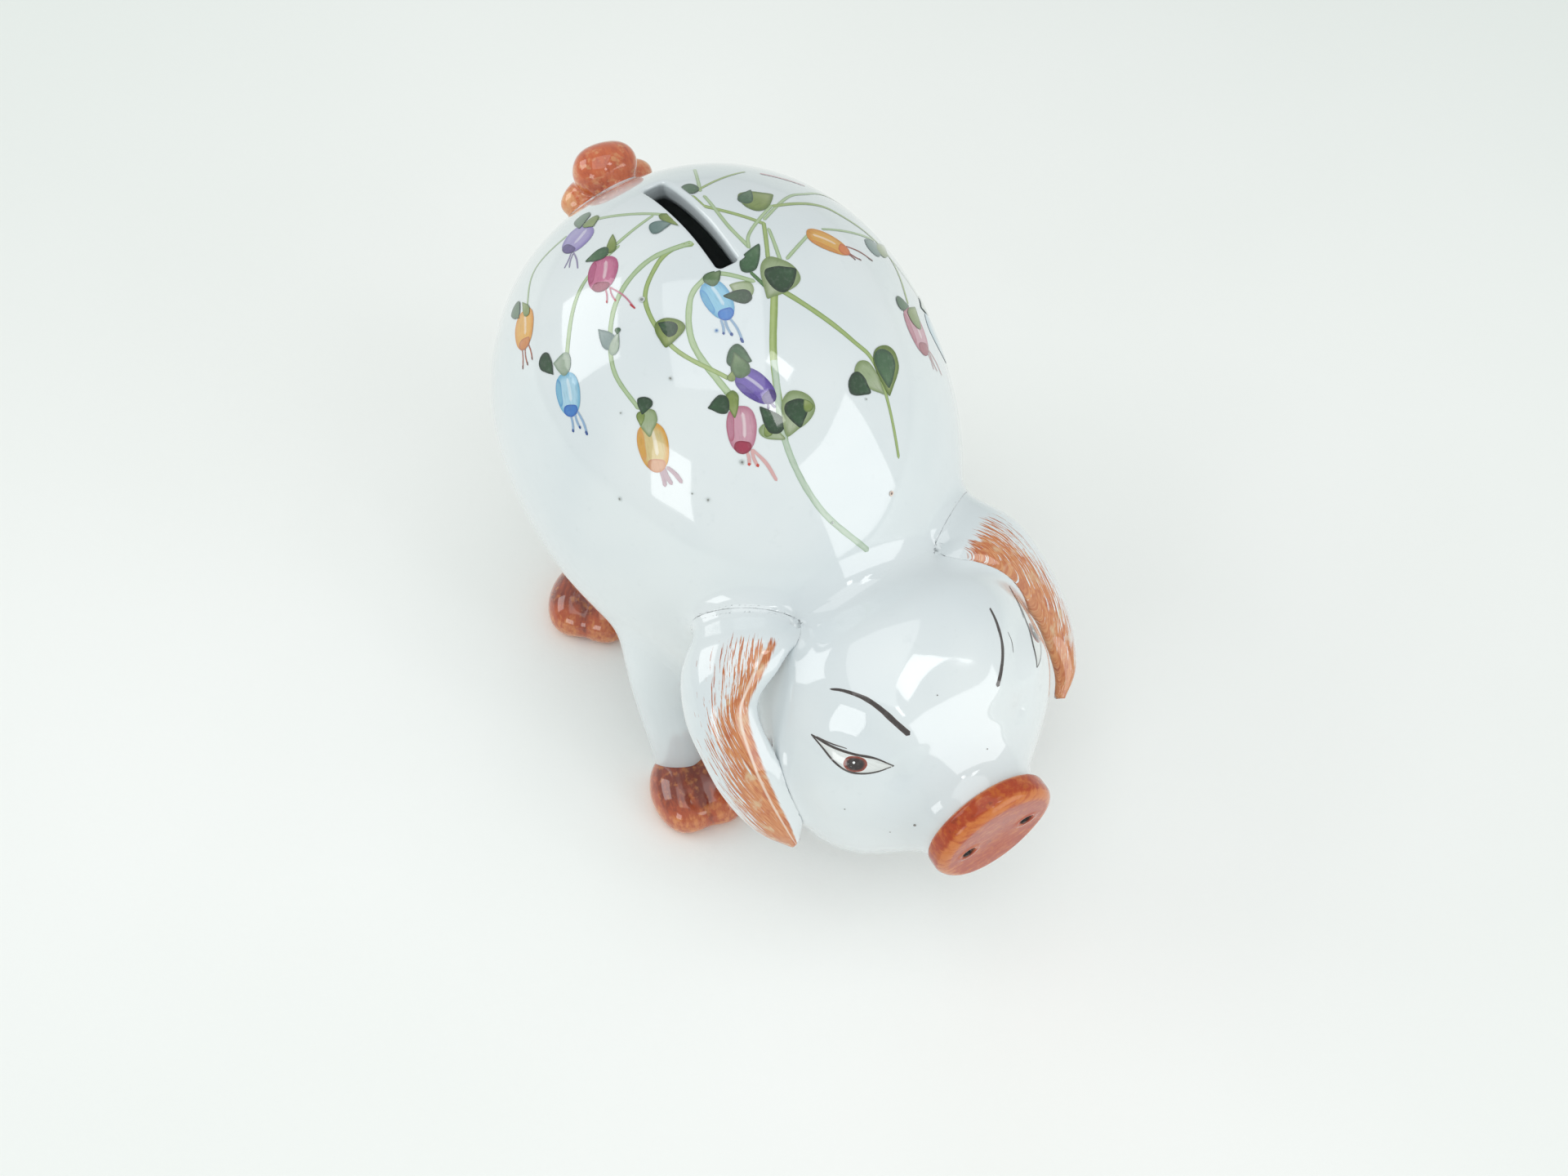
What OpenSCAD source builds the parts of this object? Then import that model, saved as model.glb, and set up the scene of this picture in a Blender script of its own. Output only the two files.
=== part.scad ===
// Hollow hand-modelled ceramic pig money bank, standing on four splayed legs.
// The pieces are thrown or modelled on their own and luted together with slip.
// A rubber stopper closes the belly hole, through which the coins come out.
// +Z is up, the snout points along -Y, the soles stand on Z = 0. All sizes in mm.

/* [Body] */
// Widest diameter of the egg-shaped body
body_d = 108; // [106:1:110]
// Length of the body along its own sloping axis
body_len = 135.2; // [133:0.2:137]
// How far the body's axis is pitched nose-down, in degrees
body_pitch = 35.8; // [35.4:0.2:36.2]
// Thickness of the ceramic walls
wall = 5; // [4.5:0.25:5.5]

/* [Coin slot] */
// Length of the coin slot along the back
slot_len = 34.4; // [30:0.2:36]
// Width of the coin slot
slot_w = 5.3; // [5.1:0.1:6]

/* [Head] */
// Width of the head across the cheeks
head_w = 70.4; // [68:0.4:72]
// Diameter of the snout disc
snout_d = 31.8; // [31:0.2:33]
// Thickness of the snout disc
snout_t = 6.2; // [5.6:0.2:6.8]

/* [Ears] */
// Thickness of the folded ears at their middle
ear_t = 6.4; // [5.6:0.2:7]

/* [Legs and hooves] */
// Diameter of the legs at the ankle
leg_d = 14.6; // [14:0.2:15]
// Height of the hooves
hoof_h = 10.6; // [10:0.2:11.2]
// Width of one toe of a hoof
toe_w = 13.6; // [13:0.2:14]

/* [Tail] */
// Thickness of the rolled clay the tail is curled from
tail_d = 8; // [7.6:0.2:8.4]

/* [Stopper] */
// Diameter of the stopper's plug
stopper_d = 27.8; // [26:0.2:28]
// Radial clearance of the plug in its hole
stopper_gap = 0.08; // [0.06:0.01:0.1]

/* [Hidden] */
$fn = 64;

white = [0.93, 0.95, 0.95];
brown = [0.62, 0.29, 0.16];
tan_c = [0.76, 0.50, 0.31];
rubber = [0.12, 0.12, 0.13];

// depth to which each luted piece is bedded into its neighbour
lute = 0.4;
// the model is centred front to back on its own length
y_shift = 23.75;
body_a = body_len / 2;
body_r = body_d / 2;
// height of the middle of the body's axis
body_z = 72.5;
// belly hole, under the lowest part of the body
hole_y = -12;
hole_r = stopper_d / 2 + stopper_gap;
seat_r = hole_r + 4;
seat_z = 19.6;
// middle of the coin slot, from the body's centre
slot_y = 20;

function ease(t) = t * t * (3 - 2 * t);
// smooth curve through four neighbouring stations
function cr(a, b, c, d, t) =
  0.5 * (2 * b + (c - a) * t + (2 * a - 5 * b + 4 * c - d) * t * t
         + (3 * b - a - 3 * c + d) * t * t * t);
function at(L, i) = i < 0 ? 2 * L[0] - L[1]
                  : i >= len(L) ? 2 * L[len(L) - 1] - L[len(L) - 2] : L[i];
function curve(L, n) = concat(
  [for (i = [0 : len(L) - 2]) for (k = [0 : n - 1])
     cr(at(L, i - 1), at(L, i), at(L, i + 1), at(L, i + 2), k / n)],
  [L[len(L) - 1]]);
function rev(L) = [for (i = [len(L) - 1 : -1 : 0]) L[i]];

// solid skin over a row of rings that all have the same number of points
module loft(rings) {
  m = len(rings[0]);
  n = len(rings);
  polyhedron(
    points = [for (r = rings) for (p = r) p],
    faces = concat(
      [[for (j = [0 : m - 1]) j]],
      [for (i = [0 : n - 2]) for (j = [0 : m - 1])
         [i * m + j, (i + 1) * m + j, (i + 1) * m + (j + 1) % m]],
      [for (i = [0 : n - 2]) for (j = [0 : m - 1])
         [i * m + j, (i + 1) * m + (j + 1) % m, i * m + (j + 1) % m]],
      [[for (j = [m - 1 : -1 : 0]) (n - 1) * m + j]]),
    convexity = 6);
}

// ---------------------------------------------------------------- body
function egg_r(s, b) = b * sqrt(max(0, 1 - s * s)) * (1 - 0.12 * s + 0.027 * s * s);

// egg about its own axis, the narrow end towards the head
module egg(inset) {
  a = body_a - inset;
  b = body_r - inset;
  steps = 44;
  translate([0, 0, body_z])
    rotate([90 + body_pitch, 0, 0])
      rotate_extrude($fn = 96)
        polygon(concat(
          [[0, -a]],
          [for (i = [1 : steps - 1]) let (s = -cos(180 * i / steps)) [egg_r(s, b), a * s]],
          [[0, a]]));
}

module slot_cut() {
  r = 1.2;
  y0 = slot_y - slot_len / 2;
  translate([-slot_w / 2, y0 + r, 100])
    cube([slot_w, slot_len - 2 * r, 50]);
  translate([-slot_w / 2 + r, y0, 100])
    cube([slot_w - 2 * r, slot_len, 50]);
  for (sx = [-1, 1])
    for (yy = [y0 + r, y0 + slot_len - r])
      translate([sx * (slot_w / 2 - r), yy, 100])
        cylinder(r = r, h = 50, $fn = 24);
}

module body_shell() {
  color(white)
    translate([0, y_shift, 0])
      difference() {
        union() {
          difference() {
            egg(0);
            egg(wall);
          }
          intersection() {
            egg(0.6);
            translate([0, hole_y, 10])
              cylinder(r = seat_r + 3.5, h = 15, $fn = 64);
          }
        }
        slot_cut();
        translate([0, hole_y, 0])
          cylinder(r = hole_r, h = 40, $fn = 64);
        translate([0, hole_y, 0])
          cylinder(r = seat_r, h = seat_z, $fn = 64);
      }
}

// ---------------------------------------------------------------- head
// stations from the neck to the muzzle: y, middle height, half width, rise, drop
head_stations = [
  [-40, 58, 25, 15, 19],
  [-49, 57.5, 29.5, 20.5, 26],
  [-57, 57, 32, 24, 30.5],
  [-64, 56.5, 34, 27.5, 33.5],
  [-70, 55.5, 35.2, 29.5, 35.8],
  [-77, 54, 35.2, 29.5, 37],
  [-84, 52, 33.6, 28, 35.6],
  [-91, 50, 29, 25, 30.2],
  [-97, 48.6, 22.2, 19.2, 21.8],
  [-102, 47.6, 16.6, 15, 15.8],
  [-107.3, 47.3, 14, 13.8, 13.8]];

function head_ring(s, inset, m) =
  [for (j = [0 : m - 1])
     let (a = 360 * j / m, c = cos(a), d = sin(a), e = d > 0 ? 2.15 : 2.65,
          k = pow(pow(abs(c), e) + pow(abs(d), e), -1 / e),
          w = s[2] * head_w / 70.4 - inset,
          h = (d > 0 ? s[3] : s[4]) - inset)
     [w * c * k, s[0], s[1] + h * d * k]];

module head_shell() {
  m = 40;
  outer = curve(head_stations, 2);
  inner = curve([for (i = [0 : len(head_stations) - 2]) head_stations[i]], 2);
  color(white)
    translate([0, y_shift, 0])
      difference() {
        loft(concat(
          [for (s = rev(inner)) head_ring(s, wall * 0.9, m)],
          [for (s = outer) head_ring(s, 0, m)]));
        egg(lute);
      }
}

module snout_disc() {
  r = snout_d / 2;
  t = snout_t;
  f = 2.8;
  b = 1.4;
  color(brown)
    translate([0, y_shift - 112.8, 47.2])
      rotate([-90 + 3.5, 0, 0])
        difference() {
          rotate_extrude($fn = 96)
            polygon(concat(
              [[0, 0.35]],
              [for (i = [0 : 6]) [(r - f) * i / 6, 0.35 * (1 - ease(i / 6))]],
              [for (i = [1 : 8]) [r - f + f * sin(90 * i / 8), f - f * cos(90 * i / 8)]],
              [for (i = [0 : 5]) [r - b + b * cos(90 * i / 5), t - b + b * sin(90 * i / 5)]],
              [[0, t]]));
          for (sx = [-1, 1])
            translate([sx * 8, 0, -1])
              cylinder(r = 1.5, h = 2.2, $fn = 24);
        }
}

// ---------------------------------------------------------------- ears
// Stations from the root to the tip, as on the right-hand side: a point on the
// front edge, a point on the rear edge, relative thickness, then outward crown.
right_ear_stations = [
  [[-18, -55, 75], [-32, -38, 69], 0.9, 0],
  [[-23.5, -59.5, 80], [-39, -44.5, 76], 1, 1.4],
  [[-29.5, -63.5, 78.5], [-46.5, -50, 72.5], 1, 2.6],
  [[-36.5, -66.3, 72.3], [-50, -57.5, 65.5], 1, 3.2],
  [[-38.4, -73.6, 64.8], [-50, -65, 57.5], 1, 3],
  [[-38.2, -79, 55], [-48.8, -71.2, 50], 0.9, 2.2],
  [[-37.4, -83.8, 46], [-45.2, -78.4, 42.8], 0.75, 1.2],
  [[-37.6, -86, 40], [-38.8, -85.4, 37.8], 0.35, 0]];
left_ear_stations = [
  [[-18, -55, 74], [-31, -39, 67], 0.9, 0],
  [[-22.5, -59.5, 78.5], [-37.5, -46, 72.5], 1, 0.5],
  [[-29, -62.5, 76], [-44.2, -51.3, 67.2], 1, 1],
  [[-35.5, -66, 67.5], [-47.8, -57.8, 58.8], 1, 1.3],
  [[-39.8, -71.5, 56.5], [-49.8, -64, 49.6], 1, 1.4],
  [[-40.8, -77, 47], [-50, -70.4, 42], 0.9, 1.2],
  [[-40.2, -82, 41.5], [-46, -78.4, 38], 0.75, 0.8],
  [[-38, -86, 38.4], [-39, -85.4, 36.6], 0.35, 0]];

function unit(v) = v / norm(v);

// flattened copy of the stations, so that the curve can run through plain numbers
function flat(L) = [for (s = L) concat(s[0], s[1], [s[2], s[3]])];
function front_of(s) = [s[0], s[1], s[2]];
function rear_of(s) = [s[3], s[4], s[5]];
function mid_of(s) = (front_of(s) + rear_of(s)) / 2;

// leaf-shaped rings, crowned outwards between the two edges
function ear_rings(L, m) =
  let (C = curve(flat(L), 3), n = len(C))
  [for (i = [0 : n - 1])
     let (s = C[i],
          t = unit(mid_of(C[min(i + 1, n - 1)]) - mid_of(C[max(i - 1, 0)])),
          u = (front_of(s) - rear_of(s)) / 2,
          v = unit(cross(u, t)))
     [for (j = [0 : m - 1])
        let (a = 360 * j / m, q = cos(a))
        mid_of(s) + u * q
          + v * (s[6] * ear_t / 2 * sin(a) - s[7] * (1 - q * q))]];

module ear(L, side) {
  color(white)
    translate([0, y_shift, 0])
      mirror([side > 0 ? 1 : 0, 0, 0])
        loft(ear_rings(L, 20));
}

module right_ear() {
  ear(right_ear_stations, -1);
}

module left_ear() {
  ear(left_ear_stations, 1);
}

// ---------------------------------------------------------------- legs and hooves
// heel point, shoulder point, toe direction and middle of the hoof, for the right-hand side
front_leg = [[-38.9, -34.6, 0], [-39.6, -26, 53], 14, [-39.5, -42.4, 0]];
hind_leg = [[-25.8, 27.5, 0], [-27, 12, 50], 47, [-32.8, 20.5, 0]];

// one leg as a turned shape along the line from ankle to shoulder
module leg_solid(g, grow) {
  p = g[0];
  d = g[1] - g[0];
  L = norm(d);
  r = leg_d / 2 + grow;
  stations = [[r, -3], [r * 0.98, L * 0.2], [r * 1.1, L * 0.48],
              [r * 1.22, L * 0.75], [r * 1.12, L * 0.9], [r * 0.7, L * 1.03]];
  translate(p)
    rotate([0, acos(d[2] / L), atan2(d[1], d[0])])
      rotate_extrude($fn = 64)
        polygon(concat(
          [[0, -3 - grow]],
          [for (s = curve(stations, 4)) [s[0], s[1] - grow * (1 - s[1] / L)]],
          [[r * 0.35, L * 1.07], [0, L * 1.08]]));
}

module leg(g, side) {
  color(white)
    translate([0, y_shift, 0])
      mirror([side > 0 ? 1 : 0, 0, 0])
        difference() {
          intersection() {
            leg_solid(g, 0);
            translate([-80, -80, 0])
              cube([80, 160, 80]);
          }
          egg(lute);
        }
}

// one rounded toe lying along its own length, the blunt end forward
module toe() {
  r = toe_w / 2;
  a = 10.9;
  steps = 22;
  translate([0, 0, hoof_h - r])
    rotate([90, 0, 0])
      rotate_extrude($fn = 64)
        polygon(concat(
          [[0, -a]],
          [for (i = [1 : steps - 1]) let (s = -cos(180 * i / steps))
             [r * pow(1 - s * s, 0.46) * (1 + 0.04 * s), a * s]],
          [[0, a]]));
}

// the pad that joins the two toes
module pad() {
  a = 11.8;
  b = hoof_h * 0.56;
  c = hoof_h * 0.37;
  steps = 20;
  rotate_extrude($fn = 64)
    polygon([for (i = [0 : steps]) let (t = -90 + 180 * i / steps)
               [a * pow(cos(t), 0.7), c + b * sin(t)]]);
}

module hoof(g, side) {
  color(brown)
    translate([0, y_shift, 0])
      mirror([side > 0 ? 1 : 0, 0, 0])
        difference() {
          intersection() {
            translate(g[3])
              rotate([0, 0, -g[2]])
                union() {
                  pad();
                  for (sx = [-1, 1])
                    translate([sx * 4.7, -0.8, 0])
                      rotate([0, 0, sx * 4])
                        toe();
                }
            translate([g[3][0] - 40, g[3][1] - 40, 0])
              cube([80, 80, 30]);
          }
          leg_solid(g, 0);
        }
}

module front_right_leg() {
  leg(front_leg, -1);
}

module front_left_leg() {
  leg(front_leg, 1);
}

module hind_right_leg() {
  leg(hind_leg, -1);
}

module hind_left_leg() {
  leg(hind_leg, 1);
}

module front_right_hoof() {
  hoof(front_leg, -1);
}

module front_left_hoof() {
  hoof(front_leg, 1);
}

module hind_right_hoof() {
  hoof(hind_leg, -1);
}

module hind_left_hoof() {
  hoof(hind_leg, 1);
}

// ---------------------------------------------------------------- tail
// one rolled lump of clay, blunt at both ends, lying across the pig
module roll(a, r) {
  steps = 22;
  rotate([0, 90, 0])
    rotate_extrude($fn = 64)
      polygon(concat(
        [[0, -a]],
        [for (i = [1 : steps - 1]) let (s = -cos(180 * i / steps))
           [r * pow(1 - s * s, 0.46), a * s]],
        [[0, a]]));
}

// the tail is curled up: a wide turn on the rump with the end folded over on top
module tail() {
  color(tan_c)
    translate([0, y_shift, 0])
      difference() {
        union() {
          translate([0, 60, 107])
            roll(12.6, tail_d * 0.69);
          translate([-0.2, 59.8, 114])
            rotate([0, 0, -4])
              roll(8, tail_d * 0.79);
        }
        egg(lute);
      }
}

// ---------------------------------------------------------------- stopper
module belly_stopper() {
  r = stopper_d / 2;
  color(rubber)
    translate([0, y_shift + hole_y, 0])
      rotate_extrude($fn = 64)
        polygon([[0, 16.6], [seat_r - 1.6, 16.6], [seat_r - 0.5, 17.6],
                 [seat_r - 0.5, seat_z - 0.3], [r, seat_z - 0.3], [r, 25.6],
                 [r - 1.6, 27.6], [r - 4, 27.6], [r - 4, 20.6], [0, 20.6]]);
}

body_shell();
head_shell();
snout_disc();
right_ear();
left_ear();
front_right_leg();
front_left_leg();
hind_right_leg();
hind_left_leg();
front_right_hoof();
front_left_hoof();
hind_right_hoof();
hind_left_hoof();
tail();
belly_stopper();
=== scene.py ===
import bpy
import math
import random
import numpy as np
from mathutils import Matrix, Vector, noise
from mathutils.bvhtree import BVHTree


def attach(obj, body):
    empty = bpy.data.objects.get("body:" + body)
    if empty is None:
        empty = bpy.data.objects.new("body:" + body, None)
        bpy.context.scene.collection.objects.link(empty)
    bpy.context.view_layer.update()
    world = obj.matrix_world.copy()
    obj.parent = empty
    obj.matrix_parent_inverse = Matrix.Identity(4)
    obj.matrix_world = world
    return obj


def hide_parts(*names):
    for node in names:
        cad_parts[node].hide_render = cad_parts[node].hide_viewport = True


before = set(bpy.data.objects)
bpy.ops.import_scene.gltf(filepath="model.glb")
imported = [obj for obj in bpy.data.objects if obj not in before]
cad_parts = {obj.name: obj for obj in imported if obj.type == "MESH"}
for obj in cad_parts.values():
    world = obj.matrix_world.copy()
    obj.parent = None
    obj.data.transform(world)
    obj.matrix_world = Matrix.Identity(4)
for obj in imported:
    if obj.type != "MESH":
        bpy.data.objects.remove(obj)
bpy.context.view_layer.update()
scene = bpy.context.scene
random.seed(7)
# without this, mathutils seeds its vector noise from the clock
noise.seed_set(7)

# Shapes are worked out in millimetres with the middle of the body's axis at y = 0.
# The frame's own origin lies YS millimetres in front of that.
YS = 23.75


def lin(r, g, b):
    """0-255 display colour to linear."""
    return tuple((c / 255 / 12.92 if c / 255 <= 0.04045 else ((c / 255 + 0.055) / 1.055) ** 2.4)
                 for c in (r, g, b))


def unit(v):
    v = np.asarray(v, float)
    return v / np.maximum(np.linalg.norm(v, axis=-1, keepdims=True), 1e-12)


def smooth(a, b, x):
    t = np.clip((np.asarray(x, float) - a) / (b - a), 0, 1)
    return t * t * (3 - 2 * t)


def catmull(pts, n, closed=False):
    """Smooth curve through points, n steps to each span."""
    p = np.asarray(pts, float)
    if closed:
        q = np.concatenate([p[-1:], p, p[:2]])
    else:
        q = np.concatenate([2 * p[:1] - p[1:2], p, 2 * p[-1:] - p[-2:-1]])
    out = []
    for i in range(1, len(q) - 2):
        a, b, c, d = q[i - 1], q[i], q[i + 1], q[i + 2]
        for k in range(n):
            t = k / n
            out.append(0.5 * (2 * b + (c - a) * t + (2 * a - 5 * b + 4 * c - d) * t * t
                              + (3 * b - a - 3 * c + d) * t ** 3))
    if not closed:
        out.append(q[-2])
    return np.array(out)


def even(p, step, closed=False):
    """Points spaced evenly along a polyline."""
    p = np.asarray(p, float)
    if closed:
        p = np.concatenate([p, p[:1]])
    d = np.concatenate([[0], np.cumsum(np.linalg.norm(np.diff(p[:, :3], axis=0), axis=1))])
    n = max(2, int(round(d[-1] / step)))
    s = np.linspace(0, d[-1], n + 1)
    q = np.stack([np.interp(s, d, p[:, k]) for k in range(p.shape[1])], 1)
    return q[:-1] if closed else q


# ---- mesh helpers
class Mesh:
    """Vertices in mm, faces, and named attributes of each vertex."""

    def __init__(self):
        self.v, self.f, self.a = [], [], {}

    def add(self, v, f, **attrs):
        base = len(self.v)
        self.v += [tuple(map(float, p)) for p in v]
        self.f += [tuple(int(i) + base for i in q) for q in f]
        for k, val in attrs.items():
            self.a.setdefault(k, []).extend([tuple(map(float, x)) for x in val])


def grid(rows, cols, close_cols=True, close_rows=False, flip=False):
    f = []
    for i in range(rows if close_rows else rows - 1):
        for j in range(cols if close_cols else cols - 1):
            a, b = i * cols + j, i * cols + (j + 1) % cols
            c, d = ((i + 1) % rows) * cols + (j + 1) % cols, ((i + 1) % rows) * cols + j
            f.append((a, d, c, b) if flip else (a, b, c, d))
    return f


def fan(ring, centre, flip=False):
    n = len(ring)
    return [((ring[j], centre, ring[(j + 1) % n]) if flip else (ring[j], ring[(j + 1) % n], centre))
            for j in range(n)]


def outward(v, f):
    """Turn all faces over if the surface is inside out, by the sign of its volume."""
    v = np.asarray(v)
    t = np.array([(q[0], q[k], q[k + 1]) for q in f for k in range(1, len(q) - 1)])
    vol = (v[t[:, 0]] * np.cross(v[t[:, 1]], v[t[:, 2]])).sum()
    return [tuple(reversed(q)) for q in f] if vol < 0 else f


def closed_rings(rows, cols):
    """Faces of a stack of rings, closed by two middle points that come after the rings."""
    k = rows * cols
    return grid(rows, cols) + fan(list(range(cols)), k, True) + fan(list(range(k - cols, k)), k + 1)


def turned(x, y, a):
    """Coordinates in axes turned by the angle a."""
    return x * math.cos(a) + y * math.sin(a), -x * math.sin(a) + y * math.cos(a)


def star_surface(field, centre, nu, nv, far, marches, halvings):
    """Closed skin where rays into a centre first meet the inside of a field."""
    th = np.pi * (np.arange(1, nu) / nu)
    ph = 2 * np.pi * np.arange(nv) / nv
    D = np.stack([np.outer(np.sin(th), np.cos(ph)), np.outer(np.sin(th), np.sin(ph)),
                  np.repeat(np.cos(th)[:, None], nv, 1)], -1).reshape(-1, 3)
    D = np.concatenate([D, [[0, 0, 1.0]], [[0, 0, -1.0]]])
    lo, found = np.zeros(len(D)), np.zeros(len(D), bool)
    t = np.linspace(far, 0.5, marches)
    for tt in t:
        new = (field(centre + D * tt) < 0) & ~found
        lo[new] = tt
        found |= new
    hi = lo + (t[0] - t[1])
    for _ in range(halvings):
        m = (lo + hi) / 2
        inside = field(centre + D * m[:, None]) < 0
        lo, hi = np.where(inside, m, lo), np.where(inside, hi, m)
    v = centre + D * lo[:, None]
    return v, outward(v, closed_rings(nu - 1, nv))


def build(name, v, f, body, node, slot, mat, attrs=None):
    """Object of a body, in metres, which stands for a CAD node if one is given."""
    me = bpy.data.meshes.new(name)
    w = np.asarray(v, float) * 0.001
    w[:, 1] += YS * 0.001
    me.from_pydata(w.tolist(), [], [tuple(int(i) for i in q) for q in f])
    me.validate()
    for k, val in (attrs or {}).items():
        val = np.asarray(val, float)
        kind, field = ('FLOAT_VECTOR', "vector") if val.shape[1] == 3 else ('FLOAT_COLOR', "color")
        me.attributes.new(k, kind, 'POINT').data.foreach_set(field, val.ravel())
    me.materials.append(mat)
    me.polygons.foreach_set("use_smooth", np.ones(len(me.polygons), bool))
    o = bpy.data.objects.new(name, me)
    scene.collection.objects.link(o)
    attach(o, body)
    if node:
        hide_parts(node)


def tree_of(v, f):
    return BVHTree.FromPolygons([tuple(p) for p in v], [tuple(int(i) for i in q) for q in f])


def distance_to(v, f, reach=12.0):
    """Function for the signed distance to a closed surface and its gradient, near it only."""
    tree = tree_of(v, f)
    lo, hi = np.min(v, axis=0) - reach, np.max(v, axis=0) + reach

    def signed(pts):
        d, g = np.full(len(pts), 99.0), np.tile([0, 0, 1.0], (len(pts), 1))
        for i in np.where(((pts > lo) & (pts < hi)).all(1))[0]:
            p = Vector(pts[i])
            q, n, _, dist = tree.find_nearest(p)
            s = 1 if (p - q).dot(n) >= 0 else -1
            d[i] = s * dist
            g[i] = n if dist < 0.25 else (p - q) * (s / dist)
        return d, g
    return signed


# ---- body egg
# half length and radius of the body, pitch of its axis, its middle, and the wall
A, B = 67.6, 54.0
TAU = math.radians(35.8)
AX = np.array([0, -math.cos(TAU), -math.sin(TAU)])
MID = np.array([0, 0, 72.5])
WALL = 5.0
# coin slot: half width, half length, radius of a corner, its middle, and the roll of its lip
SLOT_X, SLOT_Y, SLOT_R = 2.65, 17.2, 1.2
SLOT_MID = np.array([0, 20.0])
LIP = 1.35
# belly hole: its middle, radius of the seat and of the bore, height of the seat, roll of its edge
HOLE = np.array([0, -12.0])
SEAT, BORE, SEAT_Z, EDGE = 17.98, 13.98, 19.6, 0.8
# ring of clay that thickens the wall round the hole: its radius and the height of its top
BOSS, BOSS_Z = 21.48, 25


def egg(pts, inset=0.0):
    """First-order signed distance to the egg, and its gradient."""
    a, b = A - inset, B - inset
    q = np.atleast_2d(pts) - MID
    ax = q @ AX
    s = ax / a
    perp = q - ax[:, None] * AX
    rho = np.linalg.norm(perp, axis=1)
    g = 1 - 0.12 * s + 0.027 * s * s
    dg = -0.12 + 0.054 * s
    h = np.sqrt((rho / (b * g)) ** 2 + s * s) + 1e-9
    d_rho = rho / (b * g) ** 2 / h
    d_ax = (s - rho ** 2 * dg / (b ** 2 * g ** 3)) / (a * h)
    grad = d_rho[:, None] * unit(perp) + d_ax[:, None] * AX
    n = np.linalg.norm(grad, axis=1)
    return (h - 1) / n, grad / n[:, None]


def shoot(origin, dirs, inset=0.0, far=110.0):
    """Where rays from inside leave the egg."""
    lo, hi = np.zeros(len(dirs)), np.full(len(dirs), far)
    for _ in range(32):
        m = (lo + hi) / 2
        inside = egg(origin + dirs * m[:, None], inset)[0] < 0
        lo, hi = np.where(inside, m, lo), np.where(inside, hi, m)
    return origin + dirs * lo[:, None]


def lift(xy, up=True, inset=0.0):
    """Height of the egg's top or bottom over points of the plan."""
    o = np.column_stack([xy, np.full(len(xy), 70.0 if up else 74.0)])
    return shoot(o, np.tile([0, 0, 1.0 if up else -1.0], (len(xy), 1)), inset)[:, 2]


def slot_outline(n, grow):
    """Rounded outline of the coin slot, evenly divided on its own edge, then grown."""
    a, b, r = SLOT_X, SLOT_Y, SLOT_R
    pts = []
    for cx, cy, t0 in ((a - r, b - r, 0), (-a + r, b - r, 90), (-a + r, -b + r, 180), (a - r, -b + r, 270)):
        for t in np.linspace(t0, t0 + 90, 9):
            c, s = math.cos(math.radians(t)), math.sin(math.radians(t))
            pts.append((cx + r * c, cy + r * s, c, s))
    p = np.array(pts)
    p = np.concatenate([p, p[:1]])
    d = np.concatenate([[0], np.cumsum(np.linalg.norm(np.diff(p[:, :2], axis=0), axis=1))])
    # the first point is the middle of the long side at +x
    start = d[-1] - (b - r)
    s = (start + np.arange(n) / n * d[-1]) % d[-1]
    q = np.stack([np.interp(s, d, p[:, k]) for k in range(4)], 1)
    return q[:, :2] + unit(q[:, 2:]) * grow + SLOT_MID


def slerp(a, b, w):
    """Directions part of the way from a to b along their great circles."""
    th = np.arccos(np.clip((a * b).sum(1), -1, 1))[:, None]
    return unit(a * np.sin((1 - w) * th) + b * np.sin(w * th))


def make_body():
    """Rings from the slot's lip down the outside, through the belly hole and up the inside."""
    n, outside, inside = 288, 142, 56
    O = np.array([0, 4.0, 75.0])
    rings = []
    for t in np.radians(np.linspace(0, 90, 7)):
        xy = slot_outline(n, LIP * (1 - math.cos(t)))
        rings.append(np.column_stack([xy, lift(xy) - LIP * (1 - math.sin(t))]))
    th = 2 * np.pi * np.arange(n) / n
    circ = np.stack([np.cos(th), np.sin(th)], 1)

    def round_hole(r, inset=0.0):
        xy = HOLE + circ * r
        return np.column_stack([xy, lift(xy, False, inset)])
    a_dir, b_dir = unit(rings[-1] - O), unit(round_hole(SEAT + EDGE) - O)
    for k in range(1, outside):
        w = k / outside
        w = w - 0.010 * math.sin(math.pi * w) * (1 - w)
        rings.append(shoot(O, slerp(a_dir, b_dir, w)))
    outer_end = len(rings)
    for t in np.radians(np.linspace(90, 0, 5)):
        ring = round_hole(SEAT + EDGE * (1 - math.cos(t)))
        ring[:, 2] = np.minimum(ring[:, 2] + EDGE * (1 - math.sin(t)), SEAT_Z - 0.05)
        rings.append(ring)
    for r, z in ((SEAT, SEAT_Z - 0.02), (SEAT - 0.15, SEAT_Z), (BORE + 0.15, SEAT_Z),
                 (BORE, SEAT_Z + 0.15), (BORE, BOSS_Z - 0.4), (BORE + 0.4, BOSS_Z),
                 (BOSS - 0.48, BOSS_Z), (BOSS, BOSS_Z - 0.4)):
        rings.append(np.column_stack([HOLE + circ * r, np.full(n, z)]))
    ring = round_hole(BOSS, WALL)
    ring[:, 2] = np.minimum(ring[:, 2], BOSS_Z - 0.5)
    rings.append(ring)
    top = slot_outline(n, 0)
    ztop = lift(top, True, WALL)
    c0, c1 = unit(round_hole(BOSS + 0.52, WALL) - O), unit(np.column_stack([top, ztop]) - O)
    for k in range(inside):
        rings.append(shoot(O, slerp(c0, c1, k / inside), WALL))
    rings.append(np.column_stack([top, ztop + 0.4]))
    for w in (0.33, 0.66):
        rings.append(np.column_stack([top, ztop + 0.4 + (rings[0][:, 2] - ztop - 0.4) * w]))
    return np.array(rings), outer_end


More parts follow.
